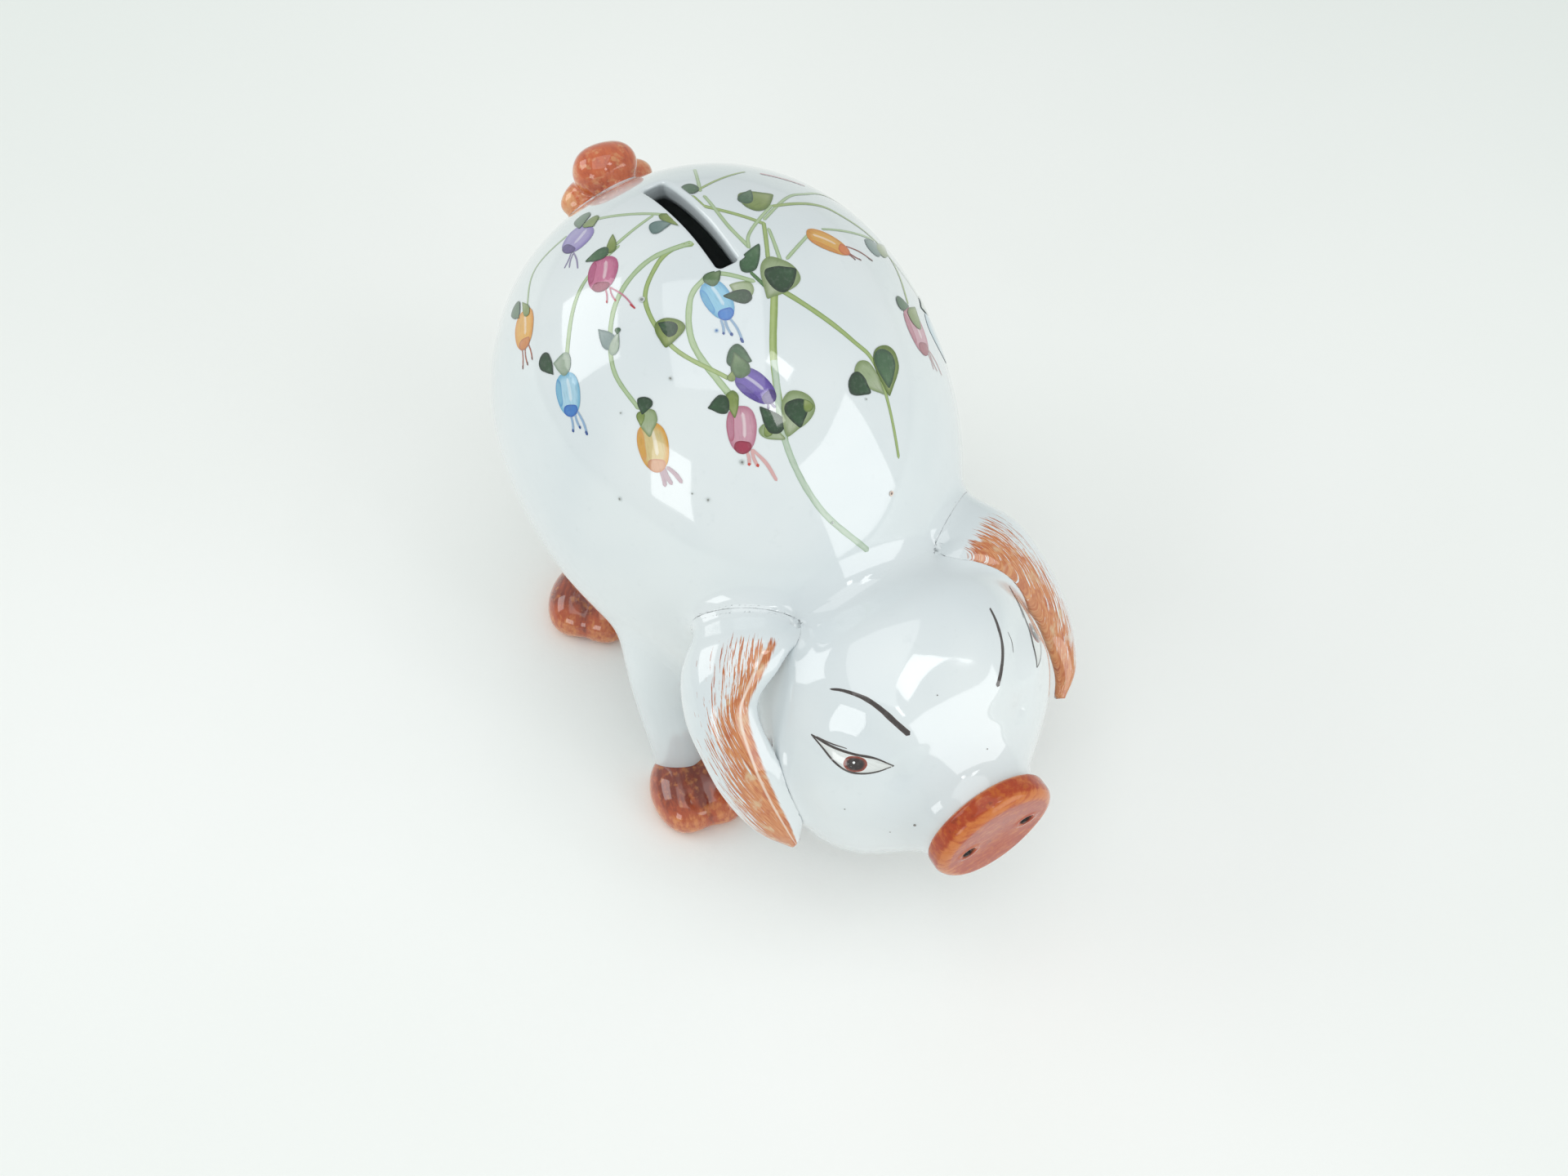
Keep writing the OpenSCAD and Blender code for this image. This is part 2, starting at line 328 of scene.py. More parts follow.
# ---- head
# stations from the neck to the muzzle: y, middle height, half width, rise, drop
HEAD = [(-40, 58, 25, 15, 19), (-49, 57.5, 29.5, 20.5, 26), (-57, 57, 32, 24, 30.5),
        (-64, 56.5, 34, 27.5, 33.5), (-70, 55.5, 35.2, 29.5, 35.8), (-77, 54, 35.2, 29.5, 37),
        (-84, 52, 33.6, 28, 35.6), (-91, 50, 29, 25, 30.2), (-97, 48.6, 22.2, 19.2, 21.8),
        (-102, 47.6, 16.6, 15, 15.8), (-107.3, 47.3, 14, 13.8, 13.8)]
HC = np.array([0, -75.0, 54.0])


def aim(az, el):
    """Direction from an azimuth and a height in degrees."""
    a, e = np.radians(az), np.radians(el)
    return np.stack([np.cos(a) * np.cos(e), np.sin(a) * np.cos(e), np.sin(e)], -1)


def loft_shape(G):
    """Closed surface over a stack of rings."""
    n, m = G.shape[:2]
    v = np.concatenate([G.reshape(-1, 3), G[0].mean(0)[None], G[-1].mean(0)[None]])
    return v, outward(v, closed_rings(n, m))


def vertex_normals(v, f):
    n = np.zeros_like(v)
    t = np.array([(q[0], q[k], q[k + 1]) for q in f for k in range(1, len(q) - 1)])
    k = np.cross(v[t[:, 1]] - v[t[:, 0]], v[t[:, 2]] - v[t[:, 0]])
    for i in range(3):
        np.add.at(n, t[:, i], k)
    return unit(n)


# swellings and hollows of the right half: azimuth, height, radius, depth
# brow ridge, the hollow under it, the eyeball, the inner corner's dent and the cheek
FACE_RELIEF = ((-170, 50, 8, .5), (-152, 52, 8, .7), (-136, 47, 7.5, .9), (-127, 41, 6, .5),
               (-158, 38, 5.5, -.8), (-141, 37, 5.5, -.9), (-173, 34, 6, -.5),
               (-151, 26, 5.2, 1.25), (-163, 26.5, 4.5, .5), (-130.5, 22.5, 3.0, -1.0),
               (-172, 20, 5, -.35), (-150, 15, 5, -.4), (-165, 5, 12, .5))


def make_head():
    m = 168
    th = 2 * np.pi * np.arange(m) / m
    c, s = np.cos(th), np.sin(th)
    # the crown is nearly elliptical and the jaw squarer
    e = np.where(s > 0, 2.15, 2.65)
    k = (np.abs(c) ** e + np.abs(s) ** e) ** (-1 / e)
    G = np.array([np.stack([w * c * k, y + 0 * c, z + np.where(s > 0, rise, drop) * s * k], 1)
                  for y, z, w, rise, drop in catmull(HEAD, 11)])
    v, f = loft_shape(G)
    tree = tree_of(v, f)
    n = vertex_normals(v, f)
    for side in (-1, 1):
        for az, el, r, h in FACE_RELIEF:
            d = v - np.array(tree.ray_cast(Vector(HC), Vector(aim(az if side < 0 else -180 - az, el)))[0])
            v = v + n * (h * np.exp(-(d * d).sum(1) / (r * r)))[:, None]
    return v, f


# ---- ears
# stations from root to tip, right-hand side: a point of the front edge, a point of the rear
# edge, relative thickness, outward crown
RIGHT_EAR = [(-18, -55, 75, -32, -38, 69, 0.9, 0), (-23.5, -59.5, 80, -39, -44.5, 76, 1, 1.4),
             (-29.5, -63.5, 78.5, -46.5, -50, 72.5, 1, 2.6), (-36.5, -66.3, 72.3, -50, -57.5, 65.5, 1, 3.2),
             (-38.4, -73.6, 64.8, -50, -65, 57.5, 1, 3), (-38.2, -79, 55, -48.8, -71.2, 50, 0.9, 2.2),
             (-37.4, -83.8, 46, -45.2, -78.4, 42.8, 0.75, 1.2), (-37.6, -86, 40, -38.8, -85.4, 37.8, 0.35, 0)]
LEFT_EAR = [(-18, -55, 74, -31, -39, 67, 0.9, 0), (-22.5, -59.5, 78.5, -37.5, -46, 72.5, 1, .5),
            (-29, -62.5, 76, -44.2, -51.3, 67.2, 1, 1), (-35.5, -66, 67.5, -47.8, -57.8, 58.8, 1, 1.3),
            (-39.8, -71.5, 56.5, -49.8, -64, 49.6, 1, 1.4), (-40.8, -77, 47, -50, -70.4, 42, 0.9, 1.2),
            (-40.2, -82, 41.5, -46, -78.4, 38, 0.75, .8), (-38, -86, 38.4, -39, -85.4, 36.6, 0.35, 0)]


def make_ear(L, side):
    """Crowned leaf, with its place along the ear, across it and through it at each vertex."""
    S = catmull(L, 16)
    mid = (S[:, :3] + S[:, 3:6]) / 2
    m, half_t = 88, 3.2
    a = 2 * np.pi * np.arange(m) / m
    q = np.cos(a)
    G, uv = [], []
    for i, s in enumerate(S):
        t = unit(mid[min(i + 1, len(S) - 1)] - mid[max(i - 1, 0)])
        u = (s[:3] - s[3:6]) / 2
        w = unit(np.cross(u, t))
        G.append(mid[i] + u * q[:, None] + w * (s[6] * half_t * np.sin(a) - s[7] * (1 - q * q))[:, None])
        uv.append(np.stack([np.full(m, i / (len(S) - 1)), q, -np.sin(a)], 1))
    G = np.array(G)
    if side > 0:
        G[..., 0] *= -1
    v, f = loft_shape(G)
    uv = np.concatenate([np.array(uv).reshape(-1, 3), [[0, 0, 0], [1, 0, 0]]])
    return v, f, uv


# ---- legs, hooves, tail
# heel, shoulder, way the toes turn out in degrees, middle of the hoof
FRONT = ((-38.9, -34.6, 0), (-39.6, -26, 53), 14, (-39.5, -42.4))
HIND = ((-25.8, 27.5, 0), (-27, 12, 50), 47, (-32.8, 20.5))


def make_leg(g, side):
    """Turned shape along the line from heel to shoulder, with its foot on the floor."""
    p, d = np.array(g[0], float), np.array(g[1], float) - np.array(g[0], float)
    L = np.linalg.norm(d)
    w = d / L
    u = unit(np.cross(w, [0, 1, 0]))
    v_ = np.cross(w, u)
    r = 7.3
    st = catmull([(r * .97, -3), (r * .98, L * .2), (r * 1.1, L * .48), (r * 1.22, L * .75),
                  (r * 1.12, L * .9), (r * .7, L * 1.03), (r * .3, L * 1.07)], 12)
    a = 2 * np.pi * np.arange(72) / 72
    G = np.array([p + w * z + (u * np.cos(a)[:, None] + v_ * np.sin(a)[:, None]) * q for q, z in st])
    G[..., 2] = np.maximum(G[..., 2], .25)
    if side > 0:
        G[..., 0] *= -1
    return loft_shape(G)


def blend(a, b, k):
    """Smooth minimum of two distances, and the first one's share in it."""
    h = np.clip(.5 + .5 * (b - a) / k, 0, 1)
    return b * (1 - h) + a * h - k * h * (1 - h), h


def hoof_field(q):
    """Two rounded toes on a pad, in the hoof's own axes with the toes along -y."""
    def toe(sx):
        length, r, z = 10.9, 6.8, 3.8
        x, y = turned(q[:, 0] - 4.7 * sx, q[:, 1] + .8, math.radians(4 * sx))
        s = -y / length
        rho = np.hypot(x, q[:, 2] - z)
        return (np.sqrt((rho / (r * (1 + 0.04 * np.clip(s, -1, 1)))) ** 2.174 + s * s) - 1) * r
    r, z, h = 11.8, 3.92, 5.94
    pad = (np.sqrt((np.hypot(q[:, 0], q[:, 1]) / r) ** 2.857 + ((q[:, 2] - z) / h) ** 2) - 1) * h
    t = blend(toe(-1), toe(1), 0.7)[0]
    t = blend(t, pad, 2.0)[0]
    # the sole is flat at z = 0, with a soft edge
    return -blend(-t, q[:, 2], 0.9)[0]


def make_hoof(g, side):
    q, f = star_surface(hoof_field, np.array([0, -1.0, 4.0]), 84, 168, 22, 90, 16)
    x, y = turned(q[:, 0], q[:, 1], math.radians(g[2]))
    w = np.stack([x, y, q[:, 2]], 1) + np.array([*g[3], 0])
    if side > 0:
        w[:, 0] *= -1
        f = [tuple(reversed(k)) for k in f]
    return w, f, q


def make_tail():
    """A wide rolled turn with the end folded over on top, star-shaped about its middle."""
    turn, end = np.array([0, 60, 107.0]), np.array([-.2, 59.8, 114.0])

    def roll(q, middle, half, r, slant):
        d = q - middle
        x, y = turned(d[:, 0], d[:, 1], math.radians(slant))
        return (np.sqrt((np.hypot(y, d[:, 2]) / r) ** 2.174 + (x / half) ** 2) - 1) * r

    def field(q):
        f = blend(roll(q, turn, 12.6, 5.5, 0), roll(q, end, 8.0, 6.3, -4), 1.3)[0]
        # hand-pressed unevenness
        return f + .16 * np.sin(q[:, 0] * .55 + 1) * np.sin(q[:, 2] * .6)
    v, f = star_surface(field, np.array([0, 59.7, 109.8]), 110, 200, 20, 80, 14)
    return v, f, v - turn


# snout disc: radius, radius of the front and rear roll, thickness, place of a nostril
SNOUT, ROLL, BACK_ROLL, SNOUT_T, NOSTRIL = 15.9, 2.8, 1.4, 6.2, 8


def make_snout():
    """Flat disc with a rolled rim and two pressed nostrils, axis along +z, front at z = 0."""
    flat, dip = SNOUT - ROLL, .35
    prof = [(r, dip * (1 - smooth(0, 1, r / flat))) for r in np.linspace(0, flat, 44)[1:]]
    prof += [(flat + ROLL * math.sin(t), ROLL - ROLL * math.cos(t))
             for t in np.linspace(0, np.pi / 2, 12)[1:]]
    prof += [(SNOUT, z) for z in (3.2, 3.8, 4.4)]
    prof += [(SNOUT - BACK_ROLL + BACK_ROLL * math.cos(t), SNOUT_T - BACK_ROLL + BACK_ROLL * math.sin(t))
             for t in np.linspace(0, np.pi / 2, 7)]
    prof += [(12, SNOUT_T), (6, SNOUT_T)]
    v, f = revolve([(0, dip)] + prof + [(0, SNOUT_T)], 224, (0, 0, 0))
    front = v[:, 2] < 2
    for sx in (-1, 1):
        d = np.hypot((v[:, 0] - NOSTRIL * sx) / 1.08, v[:, 1] / .92)
        lip = .16 * np.exp(-((d - 2.3) / .6) ** 2)
        v[:, 2] += np.where(front, 1.9 * (1 - smooth(.75, 1.75, d)) - lip, 0)
    # thumb-pressed unevenness of the face and rim
    ang = np.arctan2(v[:, 1], v[:, 0])
    rr = np.hypot(v[:, 0], v[:, 1])
    uneven = .16 * np.sin(2 * ang + 1) * smooth(3, 13, rr) + .08 * np.sin(3 * ang) * smooth(4, 13, rr)
    v[:, 2] += np.where(front, uneven, 0)
    y, z = turned(v[:, 1], v[:, 2], math.radians(90 - 3.5))
    return np.stack([v[:, 0], y, z], 1) + np.array([0, -112.8, 47.2]), f, v


def revolve(prof, m, centre):
    """Closed turned shape; the profile starts and ends on the axis."""
    a = 2 * np.pi * np.arange(m) / m
    G = np.array([np.stack([r * np.cos(a), r * np.sin(a), np.full(m, z)], 1) for r, z in prof[1:-1]])
    v = np.concatenate([G.reshape(-1, 3), [[0, 0, prof[0][1]], [0, 0, prof[-1][1]]]]) + np.array(centre)
    return v, outward(v, closed_rings(len(G), m))


def rounded(prof, r, n=4):
    """Profile with each corner rounded off by up to r."""
    out = [prof[0]]
    for a, b, c in zip(prof, prof[1:], prof[2:]):
        a, b, c = map(np.array, (a, b, c))
        la, lc = np.linalg.norm(a - b), np.linalg.norm(c - b)
        k = min(r, la * .45, lc * .45)
        p, q = b + (a - b) / la * k, b + (c - b) / lc * k
        for t in np.linspace(0, 1, n):
            out.append(tuple((1 - t) ** 2 * p + 2 * t * (1 - t) * b + t * t * q))
    return out + [prof[-1]]


# ---- joining the luted pieces
def weld(v, own, others, deep=4.0):
    """Pull a piece's skin out onto the slip fillets it shares with its neighbours.

    own and each entry of others are distance functions; a fillet's width goes with each.
    Past the middle of a fillet the skin is tucked under the neighbour's own."""
    v = v.copy()
    near = np.zeros(len(v), bool)
    local = []
    for dist, k in others:
        b = dist(v)[0]
        hit = (b < k * 1.05) & (b > -deep)
        near |= hit
        local.append(hit)
    idx = np.where(near)[0]
    p = v[idx]
    for _ in range(7):
        a, ga = own(p)
        F, G = a, ga
        tuck = np.zeros(len(p))
        for (dist, k), hit in zip(others, local):
            sub = hit[idx]
            b, gb = np.full(len(p), 99.0), np.tile([0, 0, 1.0], (len(p), 1))
            b[sub], gb[sub] = dist(p[sub])
            f1, h = blend(a, b, k)
            use = f1 < F
            F, G = np.where(use, f1, F), np.where(use[:, None], ga * h[:, None] + gb * (1 - h)[:, None], G)
            tuck = np.maximum(tuck, .4 * smooth(0, 2.2, a - b))
        F = F + tuck
        p = p - G * (F / np.maximum((G * G).sum(1), .3))[:, None]
    v[idx] = p
    return v


def wobble(v):
    """The slight unevenness of hand work, the same field for every piece."""
    out = np.array(v)
    for i, p in enumerate(v):
        q = Vector(p)
        w = noise.noise_vector(q / 30 + Vector((3, 1, 7))) * .34 + noise.noise_vector(q / 11) * .07
        # the belly hole and the soles stay true
        hole = smooth(19, 34, math.hypot(p[0], p[1] - HOLE[1])) if p[2] < 34 else 1.0
        foot = smooth(1.5, 14, p[2])
        out[i] += np.array(w) * float(hole) * float(foot)
    return out


# ---- shapes before joining
head_v, head_f = make_head()
ears = {"right_ear": make_ear(RIGHT_EAR, -1), "left_ear": make_ear(LEFT_EAR, 1)}
LEGS = (("front_right", FRONT, -1), ("front_left", FRONT, 1),
        ("hind_right", HIND, -1), ("hind_left", HIND, 1))
legs = {nm + "_leg": make_leg(g, side) for nm, g, side in LEGS}
tail_v, tail_f, tail_loc = make_tail()
T_head = distance_to(head_v, head_f)
T_ear = {k: distance_to(e[0], e[1]) for k, e in ears.items()}
T_leg = {k: distance_to(*e) for k, e in legs.items()}
T_tail = distance_to(tail_v, tail_f)
# widths of the slip fillets
K_HEAD, K_LEG, K_EAR, K_TAIL = 9.0, 7.0, 8.0, 2.0

rings, n_out = make_body()
rows, cols = rings.shape[:2]
body_v = rings.reshape(-1, 3)
outer = body_v[:n_out * cols]
outer = weld(outer, egg, [(T_head, K_HEAD)] + [(t, K_LEG) for t in T_leg.values()]
             + [(t, K_EAR) for t in T_ear.values()] + [(T_tail, K_TAIL)])
body_v = np.concatenate([outer, body_v[n_out * cols:]])
body_f = outward(body_v, grid(rows, cols, True, True))


def trimmed(f, hide):
    """Leave out the faces whose corners all lie inside a neighbour's wall."""
    keep = [q for q in f if not all(hide[i] for i in q)]
    used = sorted({i for q in keep for i in q})
    back = {k: i for i, k in enumerate(used)}
    return np.array(used), [tuple(back[i] for i in q) for q in keep]


# depth below a neighbour's surface at which a skin is no longer needed
BURIED, BURIED_IN_HEAD = -3.6, -3.2
hv = weld(head_v, T_head, [(egg, K_HEAD)] + [(t, K_EAR) for t in T_ear.values()])
use, hf = trimmed(head_f, egg(hv)[0] < BURIED)
head_mesh = (wobble(hv[use]), hf)
ear_mesh = {}
for k, (v, f, uv) in ears.items():
    v = weld(v, T_ear[k], [(T_head, K_EAR), (egg, K_EAR)])
    use, ff = trimmed(f, (egg(v)[0] < BURIED) | (T_head(v)[0] < BURIED_IN_HEAD))
    ear_mesh[k] = (wobble(v[use]), ff, uv[use])
leg_mesh = {}
for k, (v, f) in legs.items():
    v = weld(v, T_leg[k], [(egg, K_LEG)])
    use, ff = trimmed(f, egg(v)[0] < BURIED)
    leg_mesh[k] = (wobble(v[use]), ff)
tv = weld(tail_v, T_tail, [(egg, K_TAIL)], 2.5)
use, tf = trimmed(tail_f, egg(tv)[0] < BURIED)
tail_mesh = (wobble(tv[use]), tf, tail_loc[use])
body_v = wobble(body_v)


# ---- materials
class Net:
    """A new material, its shader, and short ways to add nodes to it."""

    def __init__(self, name):
        self.material = bpy.data.materials.new(name)
        self.material.use_nodes = True
        self.nt = self.material.node_tree
        self.bsdf = self.nt.nodes["Principled BSDF"]

    def out(self, socket, value):
        """Set or link an input of the shader."""
        if isinstance(value, bpy.types.NodeSocket):
            self.nt.links.new(value, self.bsdf.inputs[socket])
        else:
            self.bsdf.inputs[socket].default_value = value

    def node(self, kind, ins=None, **props):
        n = self.nt.nodes.new(kind)
        for k, v in props.items():
            setattr(n, k, v)
        for k, v in (ins or {}).items():
            s = n.inputs[k]
            if isinstance(v, bpy.types.NodeSocket):
                self.nt.links.new(v, s)
            else:
                s.default_value = v
        return n

    def math(self, op, a, b=0.0):
        return self.node("ShaderNodeMath", {0: a, 1: b}, operation=op).outputs[0]

    def noise(self, vec, scale, detail=2.0, rough=0.5, dist=0.0):
        return self.node("ShaderNodeTexNoise", {"Vector": vec, "Scale": scale, "Detail": detail,
                                                "Roughness": rough, "Distortion": dist}).outputs["Fac"]

    def step(self, x, lo, hi, a=0.0, b=1.0):
        return self.node("ShaderNodeMapRange", {"Value": x, "From Min": lo, "From Max": hi, "To Min": a,
                                                "To Max": b}, interpolation_type='SMOOTHSTEP').outputs[0]

    def mix(self, fac, a, b, mode='MIX'):
        n = self.node("ShaderNodeMix", data_type='RGBA', blend_type=mode)
        for i, v in ((0, fac), (6, a), (7, b)):
            if isinstance(v, bpy.types.NodeSocket):
                self.nt.links.new(v, n.inputs[i])
            else:
                n.inputs[i].default_value = (*v[:3], 1) if i else v
        return n.outputs[2]

    def attr(self, name, out="Vector"):
        return self.node("ShaderNodeAttribute", attribute_name=name).outputs[out]

    def split(self, vec):
        return self.node("ShaderNodeSeparateXYZ", {0: vec}).outputs

    def scale(self, vec, s):
        return self.node("ShaderNodeVectorMath", {0: vec, 1: s}, operation='MULTIPLY').outputs[0]


def glazed(name, coat=.9, ior=1.58):
    """Clear-coated white glaze: its nodes, and its colour, which is linked last."""
    N = Net(name)
    P = N.node("ShaderNodeTexCoord").outputs["Object"]
    broad = N.noise(P, 19.0, 3.0)
    col = N.mix(N.step(broad, .35, .68), lin(217, 225, 228), lin(227, 233, 234))
    fine = N.noise(P, 260.0, 4.0, .6)
    col = N.mix(N.step(fine, .60, .80, 0.0, .35), col, lin(208, 216, 218))
    # pinholes and iron specks
    cell = N.node("ShaderNodeTexVoronoi", {"Vector": P, "Scale": 62.0}, feature='F1')
    pick = N.split(cell.outputs["Color"])
    size = N.math('MULTIPLY', pick[1], .020)
    spot = N.math('MULTIPLY', N.step(N.math('SUBTRACT', size, cell.outputs["Distance"]), -.004, .004),
                  N.math('GREATER_THAN', pick[0], .62))
    col = N.mix(N.math('MULTIPLY', spot, .55), col, lin(120, 118, 110))
    h = N.math('ADD', N.math('MULTIPLY', N.noise(P, 42.0, 2.0, .45), 1.0),
               N.math('MULTIPLY', N.noise(P, 650.0, 1.0), .02))
    h = N.math('SUBTRACT', h, N.math('MULTIPLY', spot, .25))
    N.out("Roughness", N.step(N.noise(P, 75.0, 3.0), .3, .75, .055, .115))
    N.out("Normal", N.node("ShaderNodeBump", {"Height": h, "Strength": 1.0, "Distance": .00016}).outputs[0])
    N.out("IOR", ior)
    N.out("Coat Weight", coat)
    N.out("Coat Roughness", .02)
    N.out("Coat IOR", 1.5)
    return N, col


def white_glaze():
    N, col = glazed("white_glaze")
    N.out("Base Color", col)
    return N.material


def painted_glaze():
    """The same glaze over brushed colour; the brushwork is laid along each stroke."""
    N, col = glazed("painted_glaze")
    paint = N.node("ShaderNodeAttribute", attribute_name="paint")
    along = N.attr("stroke")
    hair = N.noise(N.scale(along, (.35, 2.6, 1.0)), 1.0, 3.0, .6)
    blot = N.noise(along, .9, 3.0, .55)
    c = N.mix(N.step(hair, .50, .78, 0.0, .22), paint.outputs["Color"], lin(90, 90, 80), 'MULTIPLY')
    c = N.mix(N.step(blot, .46, .74, 0.0, .04), c, lin(236, 240, 236))
    N.out("Base Color", N.mix(paint.outputs["Alpha"], col, c))
    return N.material


def slip(name, light, mid, dark, warm, **gloss):
    """Brown slip under glaze, brushed on thick and thin, over bare white where mask is 0."""
    N, col = glazed(name, **gloss)
    tone, mask, hole = N.split(N.attr("slip"))
    loc = N.attr("stroke")
    hair = N.noise(N.scale(loc, (1.1, .22, .5)), 1.0, 4.0, .62)
    blot = N.noise(loc, .30, 3.0, .6, .4)
    t = N.math('ADD', tone, N.math('MULTIPLY', N.math('SUBTRACT', hair, .5), .85))
    t = N.math('ADD', t, N.math('MULTIPLY', N.math('SUBTRACT', blot, .5), .65))
    c = N.mix(N.step(t, .10, .52), light, mid)
    c = N.mix(N.step(t, .50, .98), c, dark)
    c = N.mix(N.math('MULTIPLY', N.step(N.noise(loc, .55, 2.0), .52, .70), .45), c, warm)
    N.out("Base Color", N.mix(hole, N.mix(mask, col, c), lin(24, 20, 20)))
    return N.material


def ear_glaze():
    """White glaze with a ragged brushed band down the outside of the ear."""
    N, col = glazed("white_glaze_ear_band")
    e = N.split(N.attr("band"))       # past the rear edge, before the front edge, along the ear
    s = N.split(N.attr("strokes"))    # across the strokes, along the strokes, outer face
    comb = N.node("ShaderNodeCombineXYZ", {0: s[0], 1: s[1], 2: 0.0}).outputs[0]
    hair = N.noise(N.scale(comb, (2.3, .10, 1.0)), 1.0, 3.0, .65)
    hair2 = N.noise(N.scale(comb, (5.2, .22, 1.0)), 1.0, 3.0, .6)
    rag = N.math('MULTIPLY', N.math('SUBTRACT', hair, .5), 3.9)
    rag = N.math('ADD', rag, N.math('MULTIPLY', N.math('SUBTRACT', hair2, .5), 1.9))
    rear = N.step(N.math('ADD', e[0], rag), -.05, .05)
    front = N.step(N.math('ADD', e[1], N.math('MULTIPLY', N.math('SUBTRACT', hair2, .5), .10)), -.03, .03)
    root = N.step(N.math('ADD', e[2], N.math('MULTIPLY', rag, .05)), -.012, .012)
    mask = N.math('MULTIPLY', N.math('MULTIPLY', rear, front), N.math('MULTIPLY', root, s[2]))
    c = N.mix(N.step(hair2, .36, .62), lin(214, 150, 96), lin(190, 106, 54))
    patch = N.noise(N.scale(comb, (.30, .16, 1)), 1.0, 3.0, .6)
    c = N.mix(N.step(patch, .52, .70, 0.0, .8), c, lin(176, 84, 40))
    c = N.mix(N.step(hair, .54, .70, 0.0, .7), c, lin(156, 70, 32))
    c = N.mix(N.step(patch, .46, .30, 0.0, .75), c, lin(212, 186, 148))
    # painted highlight: a pale line along the fold of the rim, standing in for a lamp's reflection there
    line = N.math('ABSOLUTE', N.math('SUBTRACT', e[1], N.math('ADD', .15, N.math('MULTIPLY', hair2, .03))))
    c = N.mix(N.step(line, .045, .012, 0.0, .7), c, lin(238, 220, 204))
    N.out("Base Color", N.mix(mask, col, c))
    return N.material


def stopper_rubber():
    N = Net("stopper_rubber")
    P = N.node("ShaderNodeTexCoord").outputs["Object"]
    n1 = N.noise(P, 320.0, 4.0, .6)
    col = N.mix(N.step(n1, .35, .7), lin(38, 38, 40), lin(58, 57, 58))
    dust = N.noise(P, 45.0, 5.0, .65)
    N.out("Base Color", N.mix(N.step(dust, .56, .8, 0.0, .4), col, lin(105, 103, 100)))
    N.out("Roughness", N.step(n1, .3, .7, .52, .72))
    grain = {"Height": N.noise(P, 2200.0, 2.0), "Strength": .5, "Distance": .00006}
    N.out("Normal", N.node("ShaderNodeBump", grain).outputs[0])
    return N.material


GLAZE = white_glaze()
PAINTED = painted_glaze()
EAR = ear_glaze()
SNOUT_SLIP = slip("snout_glaze", lin(204, 120, 62), lin(170, 66, 32), lin(110, 38, 16), lin(200, 112, 40),
                  coat=.12, ior=1.42)
HOOF = slip("hoof_glaze", lin(214, 132, 72), lin(178, 76, 32), lin(124, 42, 16), lin(218, 140, 70))
TAIL = slip("tail_glaze", lin(226, 160, 108), lin(204, 98, 48), lin(164, 56, 22), lin(230, 176, 120))
RUBBER = stopper_rubber()

# ---- the pieces
build("body", body_v, body_f, "pig", "body_shell", "white_glaze", GLAZE)
build("head", *head_mesh, "pig", "head_shell", "white_glaze", GLAZE)
for k, (v, f) in leg_mesh.items():
    build(k + "_glazed", v, f, "pig", k, "white_glaze", GLAZE)
# rear edge of the brushed band, at these places along the ear, and its front edge
ALONG = (0, .22, .35, .5, .65, .8, .9, 1)
REAR = {"right_ear": (.45, .42, .30, .08, -.12, -.55, -1.0, -1.6),
        "left_ear": (.45, .25, .30, .36, .30, .05, -.3, -1.2)}
FRONT_EDGE = {"right_ear": .86, "left_ear": 1.60}
for k, (v, f, uv) in ear_mesh.items():
    u, q, face = uv.T
    band = np.stack([q - np.interp(u, ALONG, REAR[k]), FRONT_EDGE[k] - q, u - .21], 1)
    strokes = np.stack([(q - 1.7 * u) * 9, u * 70 + q * 4, smooth(-.92, -.7, face)], 1)
    build(k + "_glazed", v, f, "pig", k, "white_glaze", EAR, dict(band=band, strokes=strokes))
for nm, g, side in LEGS:
    v, f, loc = make_hoof(g, side)
    x, y, z = np.abs(loc[:, 0]), loc[:, 1], loc[:, 2]
    # thin over the toes' tops, thick in the cleft
    tone = (.30 + .55 * smooth(4.5, 9.5, z) * smooth(-13, -5, y)
            + .35 * smooth(2.2, .2, x) - .25 * smooth(3.5, 0, z))
    # each hoof takes another part of the brush pattern
    loc = loc + np.array([side * 31, 17 if g is HIND else 0, 0])
    build(nm + "_hoof_slip", wobble(v), f, "pig", nm + "_hoof", "hoof_glaze", HOOF,
          dict(slip=np.stack([tone, 1 + 0 * tone, 0 * tone], 1), stroke=loc))
v, f, loc = make_snout()
r = np.hypot(loc[:, 0], loc[:, 1])
tone = .46 - .28 * smooth(12.6, 14.4, r) + .30 * smooth(15.4, SNOUT, r)
hole = 0 * tone
for sx in (-1, 1):
    hole += (1 - smooth(1.45, 1.85, np.hypot(loc[:, 0] - NOSTRIL * sx, loc[:, 1]))) * (loc[:, 2] < 3.2)
build("snout", wobble(v), f, "pig", "snout_disc", "snout_glaze", SNOUT_SLIP,
      dict(slip=np.stack([tone, 1 + 0 * tone, hole], 1), stroke=loc[:, [1, 0, 2]]))
v, f, loc = tail_mesh
tone = .62 - .5 * smooth(5, 13, np.abs(loc[:, 0]))
build("tail_curl", v, f, "pig", "tail", "tail_glaze", TAIL,
      dict(slip=np.stack([tone, 1 + 0 * tone, 0 * tone], 1), stroke=loc))
# radius and height round the stopper, from the middle of its cap to the hollow of its plug
PLUG = [(0, 16.6), (16.38, 16.6), (17.48, 17.6), (17.48, 19.3), (13.9, 19.3), (13.9, 25.6),
        (12.3, 27.6), (9.9, 27.6), (9.9, 20.6), (0, 20.6)]
v, f = revolve(rounded(PLUG, .5), 160, (*HOLE, 0))
build("stopper_plug", v, f, "stopper", "belly_stopper", "stopper_rubber", RUBBER)

# ---- painting
TREES = {"b": (tree_of(body_v, body_f), MID), "h": (tree_of(*head_mesh), HC)}


def off_slot(p):
    """Brushwork stops short of the slot's lip."""
    if abs(p[0]) < 3.9 and 2.3 < p[1] < 37.8 and p[2] > 100:
        p[0] = math.copysign(4.0, p[0])
    return p


